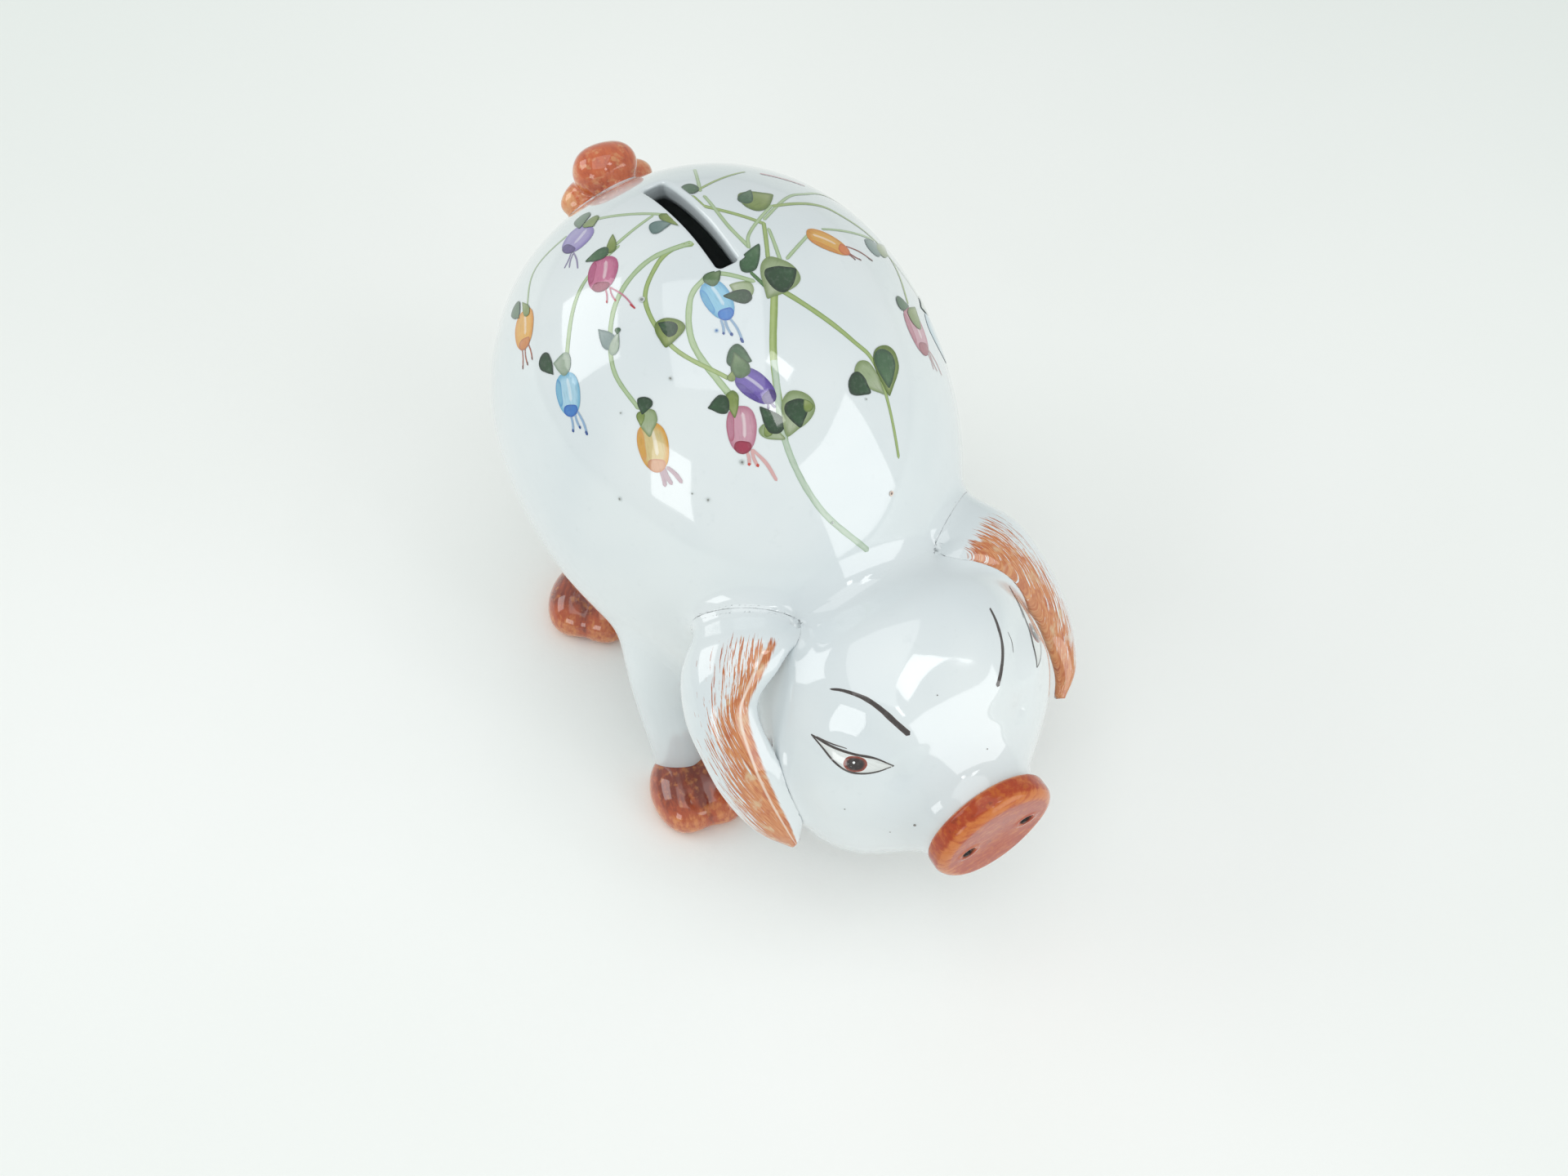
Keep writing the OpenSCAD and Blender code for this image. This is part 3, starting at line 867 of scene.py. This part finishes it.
def on(surface, angles):
    """Points of the skin that lie in the given directions from a middle, in degrees."""
    t, c = TREES[surface]
    D = np.array([aim(az, el) for az, el in angles])
    if surface == "b":
        P = [off_slot(p) for p in shoot(MID, D)]
    else:
        P = [t.ray_cast(Vector(c + d * 200), Vector(-d))[0] or c + d * 30 for d in D]
    return np.array([tuple(t.find_nearest(Vector(p))[0]) for p in P])


def snap(surface, pts, off):
    """Nearest points of the skin, raised by off, and their normals."""
    t = TREES[surface][0]
    P, Nn = [], []
    for p in pts:
        p = np.array(p)
        q, n, _, _ = t.find_nearest(Vector(off_slot(p) if surface == "b" else p))
        P.append(np.array(q) + np.array(n) * off)
        Nn.append(tuple(n))
    return np.array(P), np.array(Nn)


class Paint(Mesh):
    """Brushwork as thin films, each a little higher than the one before."""

    def __init__(self, surface):
        super().__init__()
        self.s, self.k = surface, 0

    def off(self):
        self.k += 1
        return .03 + .002 * self.k

    def ribbon(self, pts, w, colour, edge, right=None, taper=(1, 1), wob=.10):
        """Brush stroke of half-width w (one number or several along it)."""
        pts, w = np.asarray(pts, float), np.atleast_1d(w)
        w = np.interp(np.linspace(0, 1, len(pts)), np.linspace(0, 1, len(w)), w)
        c = even(catmull(np.column_stack([pts, w]), 8), min(.55, max(.22, float(w.mean()))))
        off = self.off()
        P, Nn = snap(self.s, c[:, :3], off)
        w = c[:, 3]
        n = len(P)
        S = unit(np.cross(Nn, unit(np.gradient(P, axis=0))))
        d = np.concatenate([[0], np.cumsum(np.linalg.norm(np.diff(P, axis=0), axis=1))])
        ph = random.uniform(0, 99)
        ww = np.array([w[i] * (1 + wob * noise.noise(Vector((d[i] / 2.4, ph, 0)))) for i in range(n)])
        # round ends
        for there, left in ((taper[0], d), (taper[1], d[-1] - d)):
            if there:
                ww *= np.sqrt(np.clip(1 - (1 - np.clip(left / (w.mean() * 1.1), 0, 1)) ** 2, .02, 1))
        V, C, L = [], [], []
        for k in (-1, -.82, -.5, 0, .5, .82, 1):
            V.append(P + S * (ww * k)[:, None])
            col = np.array(mixed(colour, edge, smooth(.35, .95, abs(k))))
            if right is not None and k > .2:
                col = col * .45 + np.array(right) * .55
            C.append(np.tile([*col, 1], (n, 1)))
            L.append(np.stack([d + ph * 7, ww * k + ph, np.full(n, ph)], 1))
        V, C, L = (np.stack(q, 1).reshape(-1, q[0].shape[1]) for q in (V, C, L))
        self.add(snap(self.s, V, off)[0], grid(n, 7, False, False, True), paint=C, stroke=L)

    def blob(self, outline, colour, edge, tip=None, axis=None, step=.35):
        """Filled patch; colour runs from colour to tip along the axis, edge at the rim."""
        o = even(catmull(outline, 8, True), step, True)
        n = max(18, min(90, len(o)))
        around = np.linalg.norm(np.diff(np.concatenate([o, o[:1]]), axis=0), axis=1).sum()
        o = even(o, around / n, True)
        n = len(o)
        c = o.mean(0)
        off = self.off()
        ph = random.uniform(0, 99)
        rho = [.12, .25, .38, .51, .63, .74, .84, .93, 1.0]
        V = np.concatenate([c[None]] + [c + (o - c) * r for r in rho])
        if axis is None:
            far = o[np.argmax(np.linalg.norm(o - c, axis=1))]
            axis = 2 * c - far, far
        length = np.linalg.norm(axis[1] - axis[0])
        ax = unit(axis[1] - axis[0])
        u = np.clip((V - axis[0]) @ ax / length, 0, 1)
        col = np.tile(np.array(colour, float), (len(V), 1))
        if tip is not None:
            t = smooth(.35, 1, u)[:, None]
            col = col * (1 - t) + np.array(tip) * t
        t = smooth(.62, 1, np.concatenate([[0], np.repeat(rho, n)]))[:, None]
        col = col * (1 - t) + np.array(edge) * t
        V, Nn = snap(self.s, V, off)
        side = unit(np.cross(Nn, ax))
        L = np.stack([(V - c) @ ax + ph * 7, ((V - c) * side).sum(1) + ph, np.full(len(V), ph)], 1)
        f = [(0, 1 + j, 1 + (j + 1) % n) for j in range(n)]
        f += [tuple(i + 1 for i in q) for q in grid(len(rho), n, flip=True)]
        # faces look outwards
        if np.cross(V[f[0][1]] - V[0], V[f[0][2]] - V[0]) @ Nn[0] < 0:
            f = [tuple(reversed(k)) for k in f]
        self.add(V, f, paint=np.column_stack([col, np.ones(len(V))]), stroke=L)


# The four lists below place the spray: directions from the body's middle in degrees, sizes in mm.
# They are measured values. A scratch program worked them out from the painted original, and they
# were rounded to half degrees; only the shapes drawn on them are formulas.
# points, half width at the start and at the end, colours
STEMS = [
    ([(-46, 81.5), (-97.5, 69), (-103.5, 50.5), (-98, 32.5), (-88, 16.5)], 0.9, 0.7, "m"),
    ([(-46, 81.5), (-51, 61), (-53.5, 51), (-68.5, 31.5)], 0.7, 0.4, "o"),
    ([(-54, 85.5), (155, 86.5), (166, 82.5), (-176.5, 78), (-151, 71), (-122.5, 61)], 0.5, 0.8, "l"),
    ([(102, 79.5), (123, 76), (139.5, 73.5), (164.5, 70), (-162, 68.5), (-125.5, 66)], 0.6, 0.5, "o"),
    ([(100, 79), (137.5, 71), (158.5, 63.5), (-179.5, 56.5), (-161, 53)], 0.7, 0.5, "l"),
    ([(112.5, 53), (98.5, 69)], 0.5, 0.4, "l"),
    ([(104, 66.5), (126, 63)], 0.4, 0.5, "l"),
    ([(118.5, 47), (127.5, 40), (139.5, 40)], 0.4, 0.3, "l"),
    ([(126, 64), (144.5, 56), (165, 48.5)], 0.4, 0.6, "l"),
    ([(72.5, 53.5), (76, 66)], 0.4, 0.4, "l"),
    ([(78, 65.5), (55, 55.5)], 0.4, 0.3, "o"),
    ([(82, 66.5), (79, 71), (35, 75)], 0.5, 0.5, "o"),
    ([(75.5, 67.5), (67, 77.5), (33, 83)], 0.4, 0.5, "l"),
    ([(36, 83), (43, 79), (38, 68)], 0.4, 0.4, "l"),
    ([(37, 74), (34.5, 62), (31.5, 56), (29, 47.5), (23.5, 37.5)], 0.4, 0.4, "l"),
    ([(37.5, 68.5), (24.5, 57.5), (17.5, 52.5), (3.5, 42), (-16.5, 42)], 0.5, 0.4, "o"),
    ([(36.5, 74.5), (0, 82)], 0.5, 0.5, "o"),
    ([(30.5, 75.5), (-6.5, 79.5)], 0.4, 0.5, "l"),
    ([(-6, 78), (10.5, 68.5)], 0.4, 0.4, "l"),
    ([(11.5, 64), (7.5, 45.5)], 0.3, 0.4, "l"),
    ([(-22, 87), (-54, 83)], 0.4, 0.5, "d"),
    ([(3.5, 43), (-7.5, 31.5)], 0.2, 0.2, "l"),
    ([(15.5, 35), (3, 29)], 0.4, 0.2, "v"),
    ([(50, 54.5), (35, 50)], 0.5, 0.4, "p"),
]
# kind, root, mouth, width, thickness of a stamen, ends of the stamens
FLOWERS = [
    ("purple2", (115.5, 52.5), (126, 50), 9.7, 0.2, [(133, 51), (133.5, 52.5), (135, 55)]),
    ("pink", (132, 61.5), (148, 61), 7.9, 0.2, [(155.5, 62), (156.5, 64), (165, 67.5)]),
    ("yellow", (140, 39), (151, 38), 8.0, 0.2, [(156, 35.5), (156.5, 37.5), (156.5, 39.5)]),
    ("blue", (168.5, 46.5), (179, 41.5), 7.1, 0.3, [(-177.5, 38.5), (-176, 40.5), (-173, 40.5)]),
    ("amber", (-155.5, 51.5), (-147.5, 42), 7.3, 0.5, [(-144, 38.5), (-142, 39.5), (-139, 40.5)]),
    ("rose", (-120, 60), (-119.5, 49.5), 6.7, 0.4, [(-117.5, 46), (-114.5, 45.5), (-109, 41.5)]),
    ("purple", (-121, 67.5), (-104.5, 60.5), 6.0, 0.3, [(-107.5, 58.5), (-104, 58.5)]),
    ("blue2", (170, 83.5), (-131, 79.5), 6.3, 0.3, [(-132.5, 75.5), (-125, 75.5), (-116, 74)]),
    ("amber2", (11.5, 69), (-2.5, 60.5), 5.8, 0.2, [(-6.5, 59), (-6, 57), (-4.5, 52.5)]),
    ("pink2", (-18.5, 43), (-31, 36), 8.7, 0.2, [(-33.5, 31.5), (-32.5, 29.5), (-31.5, 26.5)]),
    ("blue3", (-15, 32), (-17.5, 16.5), 9.2, 0.2, [(-22.5, 18), (-20.5, 14)]),
]
# tone, middle, way the tip points (degrees from level, seen from outside), length, width
LEAVES = [
    ("g", (-31, 81), 160, 11.4, 9.1),
    ("D", (-29, 80), -50, 8.4, 6.7),
    ("d", (18, 85), -70, 9.0, 4.0),
    ("o", (46.5, 68), -125, 9.7, 7.2),
    ("d", (52.5, 68), -100, 6.5, 3.3),
    ("b", (3.5, 48), -70, 8.1, 5.0),
    ("o", (4.5, 43.5), -55, 9.5, 3.6),
    ("g", (-103, 86), 145, 5.7, 4.4),
    ("D", (-116, 84.5), 175, 6.6, 3.3),
    ("m", (165, 85), 120, 4.7, 3.6),
    ("d", (-120, 71), -20, 5.6, 5.0),
    ("m", (-120, 69), 110, 6.1, 4.2),
    ("o", (-124.5, 66.5), 85, 2.3, 1.8),
    ("o", (-123.5, 60.5), -80, 6.3, 2.8),
    ("D", (-129.5, 60), -160, 4.9, 4.1),
    ("g", (-108, 53), -35, 6.6, 3.1),
    ("o", (-109.5, 53.5), 110, 2.5, 2.0),
    ("D", (-107, 56), 120, 7.4, 4.1),
    ("g", (-96, 56), -130, 10.8, 7.4),
    ("D", (-95.5, 56), -100, 6.6, 5.5),
    ("o", (-90, 56.5), 95, 3.1, 2.3),
    ("g", (-59, 51.5), -90, 9.8, 5.3),
    ("D", (-65, 52.5), -70, 6.6, 5.2),
    ("o", (-50, 48.5), -145, 11.7, 7.6),
    ("d", (-50, 49), -140, 9.3, 6.3),
    ("D", (161.5, 43), 10, 6.3, 4.0),
    ("s", (165.5, 47), -130, 5.2, 5.1),
    ("g", (-156, 51.5), -60, 6.4, 4.3),
    ("o", (-159, 51.5), -60, 3.3, 1.9),
    ("D", (-160, 54.5), -75, 4.0, 3.5),
    ("b", (170, 59), -170, 6.1, 3.6),
    ("s", (174, 60), 130, 5.7, 2.3),
    ("d", (170, 62), -30, 1.6, 1.4),
    ("o", (-170.5, 70.5), -55, 6.7, 6.6),
    ("D", (-172.5, 71), -165, 4.9, 3.4),
    ("d", (112.5, 48.5), 35, 6.6, 4.5),
    ("o", (114, 52.5), 55, 4.6, 4.3),
    ("o", (125.5, 62), -160, 5.9, 2.4),
    ("d", (131, 59.5), -70, 6.4, 3.3),
    ("d", (138, 35.5), 30, 6.1, 4.0),
    ("o", (140, 39.5), -150, 6.0, 2.3),
    ("b", (109.5, 70), 140, 5.2, 3.9),
    ("o", (101.5, 71), 95, 8.6, 2.2),
    ("d", (81, 64), 5, 5.6, 4.8),
    ("d", (-18.5, 45), -75, 5.6, 3.5),
    ("s", (-8, 28.5), 125, 9.9, 5.3),
    ("o", (-20, 40), -20, 6.9, 5.3),
]
# colours, radius, place
SPECKS = [
    ("r", 0.4, (-76, 26)),
    ("r", 0.3, (-60, -11.5)),
    ("g", 0.5, (162, 69.5)),
    ("g", 0.4, (-120, 47)),
    ("g", 0.3, (-130.5, 37.5)),
    ("g", 0.2, (-135.5, 38.5)),
    ("g", 0.3, (-156.5, 31)),
    ("g", 0.2, (-66.5, 49)),
    ("g", 0.3, (-155, 62.5)),
    ("g", 0.2, (-166.5, 50)),
    ("b", 0.3, (-139.5, 76)),
    ("g", 0.2, (-95.5, 27.5)),
]


# display colours of a leaf: middle, rim, tip
TONE = {
    "D": "1e4a24 12341a 2c5c32",
    "d": "3e6c42 2c5432 60865c",
    "m": "5c804e 426238 8ca578",
    "g": "acc092 8ca268 c6d2b2",
    "o": "8aa04c 688230 aaba76",
    "b": "708e8a 587874 96aca8",
    "s": "b0c4ac 92aa92 ccd8c8",
}
# of a stem: middle, edge
LINE = {
    "o": "9eb270 7a944c",
    "l": "aec29a 8aa674",
    "d": "547a46 365c2e",
    "v": "acacc4 9696b4",
    "p": "d4a0aa c48292",
}
# of a flower: bell, rim of bell, skirt, rim of skirt, stamen, stamen's end
FLOWER = {
    "purple2": "aca0d4 8a7abe 62508e 4a3876 968cb2 7864a0",
    "pink": "ce769a b65480 9c2c54 821e42 ce8296 be2832",
    "yellow": "eeb248 e2942c d68232 be6824 b05430 78321e",
    "blue": "b2dcf0 70b6d6 3a80ce 2864ba 96b8da 244c96",
    "amber": "dec88a de9e2c daa47c ce8c60 c0a4ae b08c96",
    "rose": "d49eb0 be7890 a82c4e 8e1e3e e2b2b0 ce4232",
    "purple": "6c54b0 543c98 4c3682 3a266c 9e98b2 80769e",
    "blue2": "92cce8 68acd4 3e84d2 2c68be 96b4d2 325096",
    "amber2": "e6ac46 d68e2c e07c34 c86024 964632 60281e",
    "pink2": "d4a0ae c27c8e aa5a68 964254 d6a0a0 a05a60",
    "blue3": "a4ccde 88b8d0 749ab8 5c84a4 a8b8ca 7e92ac",
}
# outlines of a flower: along the bell from root to mouth, and across it in half widths
BELL = [(0, -.12), (.03, -.50), (.16, -.84), (.40, -1), (.66, -.93), (.86, -.74), (.98, -.44), (1.03, 0),
        (.98, .44), (.86, .74), (.66, .93), (.40, 1), (.16, .84), (.03, .50), (0, .12)]
PETAL = [(.10, -.74), (.30, -.97), (.55, -.98), (.76, -.80), (.70, -.55), (.45, -.50), (.22, -.48)]
SKIRT = [(.80, -.50), (.76, -.22), (.78, .22), (.82, .52), (.93, .58), (1.02, .36), (1.06, 0),
         (1.02, -.36), (.92, -.58)]


def inks(text, depth=1.0):
    """Linear colours from display colours in hex, darkened by depth."""
    return [tuple(depth * q for q in lin(*bytes.fromhex(c))) for c in text.split()]


def mixed(a, b, w):
    return tuple(p * (1 - w) + q * w for p, q in zip(a, b))


def rough_ring(c, middle, r, spread):
    """Small uneven ring about a point of the skin."""
    n = unit(c - middle)
    s1 = unit(np.cross(n, [0.3, 0.2, 1]))
    s2 = np.cross(n, s1)
    return [c + (s1 * math.cos(a) + s2 * math.sin(a)) * r * random.uniform(1 - spread, 1 + spread)
            for a in np.linspace(0, 5.5, 8)]


spray = Paint("b")
for pts, w0, w1, tone in STEMS:
    P3 = on("b", pts)
    if tone == "m":
        # the main stem is shaded on its right half, and runs out paler
        k = len(P3) // 2
        a, b, shade, pale, pale_edge = inks("a6b876 8ea458 768e3e bacab8 a0b89e")
        spray.ribbon(P3[:k + 1], (w0, w0 * .85), a, b, shade, (1, 0))
        spray.ribbon(P3[k - 1:], (w0 * .82, w1), pale, pale_edge, None, (0, 1))
    else:
        spray.ribbon(P3, (w0, (w0 + w1) / 2, w1), *inks(LINE[tone]))


def flower(kind, root, mouth, width, sw, ends):
    """Hanging bell with a darker skirt at its mouth, and stamens out to the given ends."""
    bell, rim, skirt, skirt_rim, stamen, stamen_end = inks(FLOWER[kind], .86)
    base, tip = on("b", [root, mouth])
    ax = tip - base
    sd = unit(np.cross(base - MID, ax)) * width / 2

    def at(u, v):
        return base + ax * u + sd * v

    def patch(outline, colour, edge):
        spray.blob([at(u, v) for u, v in outline], colour, edge, None, (base, tip))
    for i, b in enumerate(on("b", ends)):
        # each stamen springs from the mouth on the side it leans to
        a = at(.96, float(np.clip((b - tip) @ sd / (sd @ sd) * .6, -.6, .6)))
        bend = unit(np.cross(b - a, base - MID)) * np.linalg.norm(b - a) * (.06 if i % 2 else -.06)
        spray.ribbon([a, (a + b) / 2 + bend, b], (sw * .8, sw, sw * .9), stamen, stamen)
        if kind in ("blue", "blue2", "rose", "pink", "amber2", "yellow") and not (kind == "rose" and i == 2):
            spray.ribbon([a + (b - a) * .80, b], sw * 1.05, stamen_end, stamen_end)
    patch(BELL, bell, rim)
    # an overlapping side petal, and the lighter streak between the petals
    if kind not in ("purple2", "yellow", "blue3"):
        patch(PETAL, mixed(rim, bell, .2), mixed(rim, skirt, .45))
    spray.ribbon([at(.14, .10), at(.40, .18), at(.70, .16)], width * .085,
                 mixed(bell, lin(250, 250, 248), .40), bell)
    patch(SKIRT, skirt, skirt_rim)


# the flowers don't touch each other, so they lie at the same height
level = top_level = spray.k
for row in FLOWERS:
    spray.k = level
    flower(*row)
    top_level = max(top_level, spray.k)
spray.k = top_level
for tone, middle, turn, long, wide in LEAVES:
    c, e, t = inks(TONE[tone], .72)
    m = on("b", [middle])[0]
    n = unit(m - MID)
    across = unit(np.cross([0, 0, 1.0], n))
    ax = across * math.cos(math.radians(turn)) + np.cross(n, across) * math.sin(math.radians(turn))
    sd = np.cross(n, ax)
    # broad and round at the stalk, drawn out to a point
    outline = []
    for a in np.radians(np.arange(0, 360, 24)):
        x = long / 2 * (math.cos(a) * .92 + .16 * max(0, math.cos(a)) ** 9)
        y = wide / 2 * math.sin(a) * (.98 - .46 * math.cos(a))
        outline.append(m + (ax * x + sd * y) * random.uniform(.96, 1.04))
    spray.blob(outline, c, e, t, (m - ax * long / 2, m + ax * long / 2))
for tone, r, place in SPECKS:
    c = on("b", [place])[0]
    ring = rough_ring(c, MID, r, .15)
    halo, core = inks({"r": "d6beac 582c1e", "g": "c4cac8 808280", "b": "96b4d2 3c64a0"}[tone])
    spray.blob([c + (p - c) * 1.5 for p in ring], halo, halo, step=.2)
    spray.blob(ring, core, halo, step=.2)
build("flower_spray", spray.v, spray.f, "pig", None, "white_glaze", PAINTED, spray.a)

# Directions from the head's middle in degrees, for the right half of the face. They are measured
# by the same program as the spray, and rounded.
BROW = [(179.5, 48), (-173.7, 51.5), (-160.3, 54.1), (-147, 52.9), (-134.8, 48.7), (-125.4, 43.8)]
UPPER_LID = [(-173.8, 28.9), (-167.1, 29.6), (-160.4, 30.2), (-152.1, 30.9), (-142.2, 31.0), (-132.4, 27.6)]
LOWER_LID = [(-173.8, 28.9), (-165.3, 27.4), (-158.5, 25.1), (-152.4, 23.5), (-146, 23.7),
             (-138.9, 25.2), (-132.4, 27.6)]
IRIS = [(-154.8, 26), (-154.3, 29), (-151, 30.4), (-146.9, 30.2), (-144.9, 28), (-146, 25.2),
        (-149.4, 23.9), (-152.6, 24.1)]
SPARK = [(-150.7, 27.8)]
CREASE = [(-171.2, 29.6), (-163.9, 30.8), (-156, 31.9)]
# the left half has a brow and a mark beside the eye of its own
LEFT_BROW = [(-6.7, 51.8), (-5, 52.2), (-17.4, 50.9), (-33.1, 48), (-55.5, 44)]
LEFT_MARK = [(-18.7, 44.6), (-23.1, 41.7), (-29.2, 40.1)]
face = Paint("h")
INK, INK2 = inks("342c2a 4a3e3a")


def to_left(a):
    """Mirrored, and turned: the left eye sits further out and a little lower."""
    return [(-180 - az + 17, el - 2) for az, el in a]


for m in (list, to_left):
    if m is to_left:
        face.ribbon(on("h", LEFT_BROW), (.14, .30, .42, .48, .54), INK, INK2, wob=.18)
        face.ribbon(on("h", LEFT_MARK), (.08, .13, .08), INK2, INK2, wob=.2)
    else:
        face.ribbon(on("h", BROW), (.18, .38, .52, .60, .66, .72), INK, INK2, wob=.18)
    upper, lower, iris = on("h", m(UPPER_LID)), on("h", m(LOWER_LID)), on("h", m(IRIS))
    face.blob(np.concatenate([upper, lower[::-1][1:-1]]), lin(226, 230, 228), lin(208, 212, 210))
    face.blob(iris, lin(38, 26, 24), lin(150, 62, 42), step=.2)
    d = on("h", m(SPARK))[0]
    s1, s2 = unit(iris[0] - iris[4]), unit(iris[2] - iris[6])
    face.blob([d + (s1 * math.cos(a) * .30 + s2 * math.sin(a) * .30) for a in np.linspace(0, 5.5, 8)],
              lin(250, 252, 252), lin(246, 248, 248), step=.15)
    face.ribbon(upper, (.16, .26, .30, .30, .24, .14), INK, INK2, wob=.2)
    face.ribbon(lower, (.16, .24, .26, .28, .26, .20, .12), INK, INK2, wob=.2)
    face.ribbon(on("h", m(CREASE)), (.10, .16, .08), INK2, INK2, wob=.2)
for az, el, r in ((-121, -4, .42), (-131, -12, .2), (-100, 60, .2), (-80, 22, .22), (-150, 2, .2)):
    ring = rough_ring(on("h", [(az, el)])[0], HC, r, .2)
    face.blob(ring, lin(104, 100, 96), lin(190, 194, 192), step=.15)
build("face_lines", face.v, face.f, "pig", None, "white_glaze", PAINTED, face.a)

# ---- floor, lights, camera
bpy.ops.mesh.primitive_grid_add(x_subdivisions=8, y_subdivisions=8, size=6)
floor = bpy.context.object
floor.name = "floor"
N = Net("floor_paper")
P = N.node("ShaderNodeTexCoord").outputs["Object"]
far = N.node("ShaderNodeVectorMath", {0: P}, operation='LENGTH').outputs["Value"]
paper = N.mix(N.step(N.noise(P, 5.0, 3.0), .3, .7), lin(246, 248, 245), lin(250, 251, 249))
# painted shade: the floor's colour grows darker away from the middle, standing in for the light's falloff
N.out("Base Color", N.mix(N.step(far, .08, .46), paper, lin(233, 238, 234)))
N.out("Roughness", .75)
N.out("Specular IOR Level", .2)
grain = {"Height": N.noise(P, 900.0, 3.0), "Strength": .15, "Distance": .0002}
N.out("Normal", N.node("ShaderNodeBump", grain).outputs[0])
floor.data.materials.append(N.material)


def softbox(name, point, az, el, dist, w, h, watts):
    """Rectangular light that faces a point of the model (mm) from a direction, dist metres away."""
    p = np.array(point, float) * .001
    p[1] += YS * .001
    d = aim(az, el)
    L = bpy.data.lights.new(name, 'AREA')
    L.shape = 'RECTANGLE'
    L.size, L.size_y, L.energy = w, h, watts
    o = bpy.data.objects.new(name, L)
    o.matrix_world = (Matrix.Translation(Vector(p + d * dist))
                      @ Vector(d).to_track_quat('Z', 'Y').to_matrix().to_4x4())
    scene.collection.objects.link(o)


softbox("window_right", (2, -41, 107), -63, 14, 1.1, .85, .70, 2.9)
softbox("window_left", (-33, 12, 123), 139, 29, 1.1, .70, .60, 2.4)
softbox("lamp_front", (-7, -83, 80), -82, 50, 1.2, .10, .24, .26)
softbox("lamp_front_two", (-1, -82, 81), -56, 58, 1.2, .14, .24, .32)
softbox("reflector", (-33, -25, 107), -151, 17, 1.2, .40, .45, 1.2)
softbox("overhead", (0, 0, 100), -120, 82, 1.8, 1.6, 1.6, 6.4)
world = bpy.data.worlds.new("studio")
scene.world = world
world.use_nodes = True
bg = world.node_tree.nodes["Background"]
bg.inputs[0].default_value = (.93, .965, .96, 1)
bg.inputs[1].default_value = .67
scene.view_settings.view_transform = 'Standard'

# camera: azimuth, height and roll in degrees; distance to its target in metres; lens in mm
AZIMUTH, HEIGHT, ROLLED = map(math.radians, (-32.747, 55.644, .454))
DISTANCE, LENS, SENSOR = .617466, 56.32125, 36
TARGET = Vector((0, -.020838 + YS * .001, .034611))
back = Vector((math.sin(AZIMUTH) * math.cos(HEIGHT), -math.cos(AZIMUTH) * math.cos(HEIGHT), math.sin(HEIGHT)))
right = Vector((math.cos(AZIMUTH), math.sin(AZIMUTH), 0))
up = back.cross(right)
c, s = math.cos(ROLLED), math.sin(ROLLED)
R = Matrix((c * right + s * up, -s * right + c * up, back)).transposed()
cam = bpy.data.objects.new("camera", bpy.data.cameras.new("camera"))
scene.collection.objects.link(cam)
cam.data.sensor_width = SENSOR
cam.data.lens = LENS
cam.data.clip_start = .01
cam.matrix_world = Matrix.Translation(TARGET + back * DISTANCE) @ R.to_4x4()
scene.camera = cam
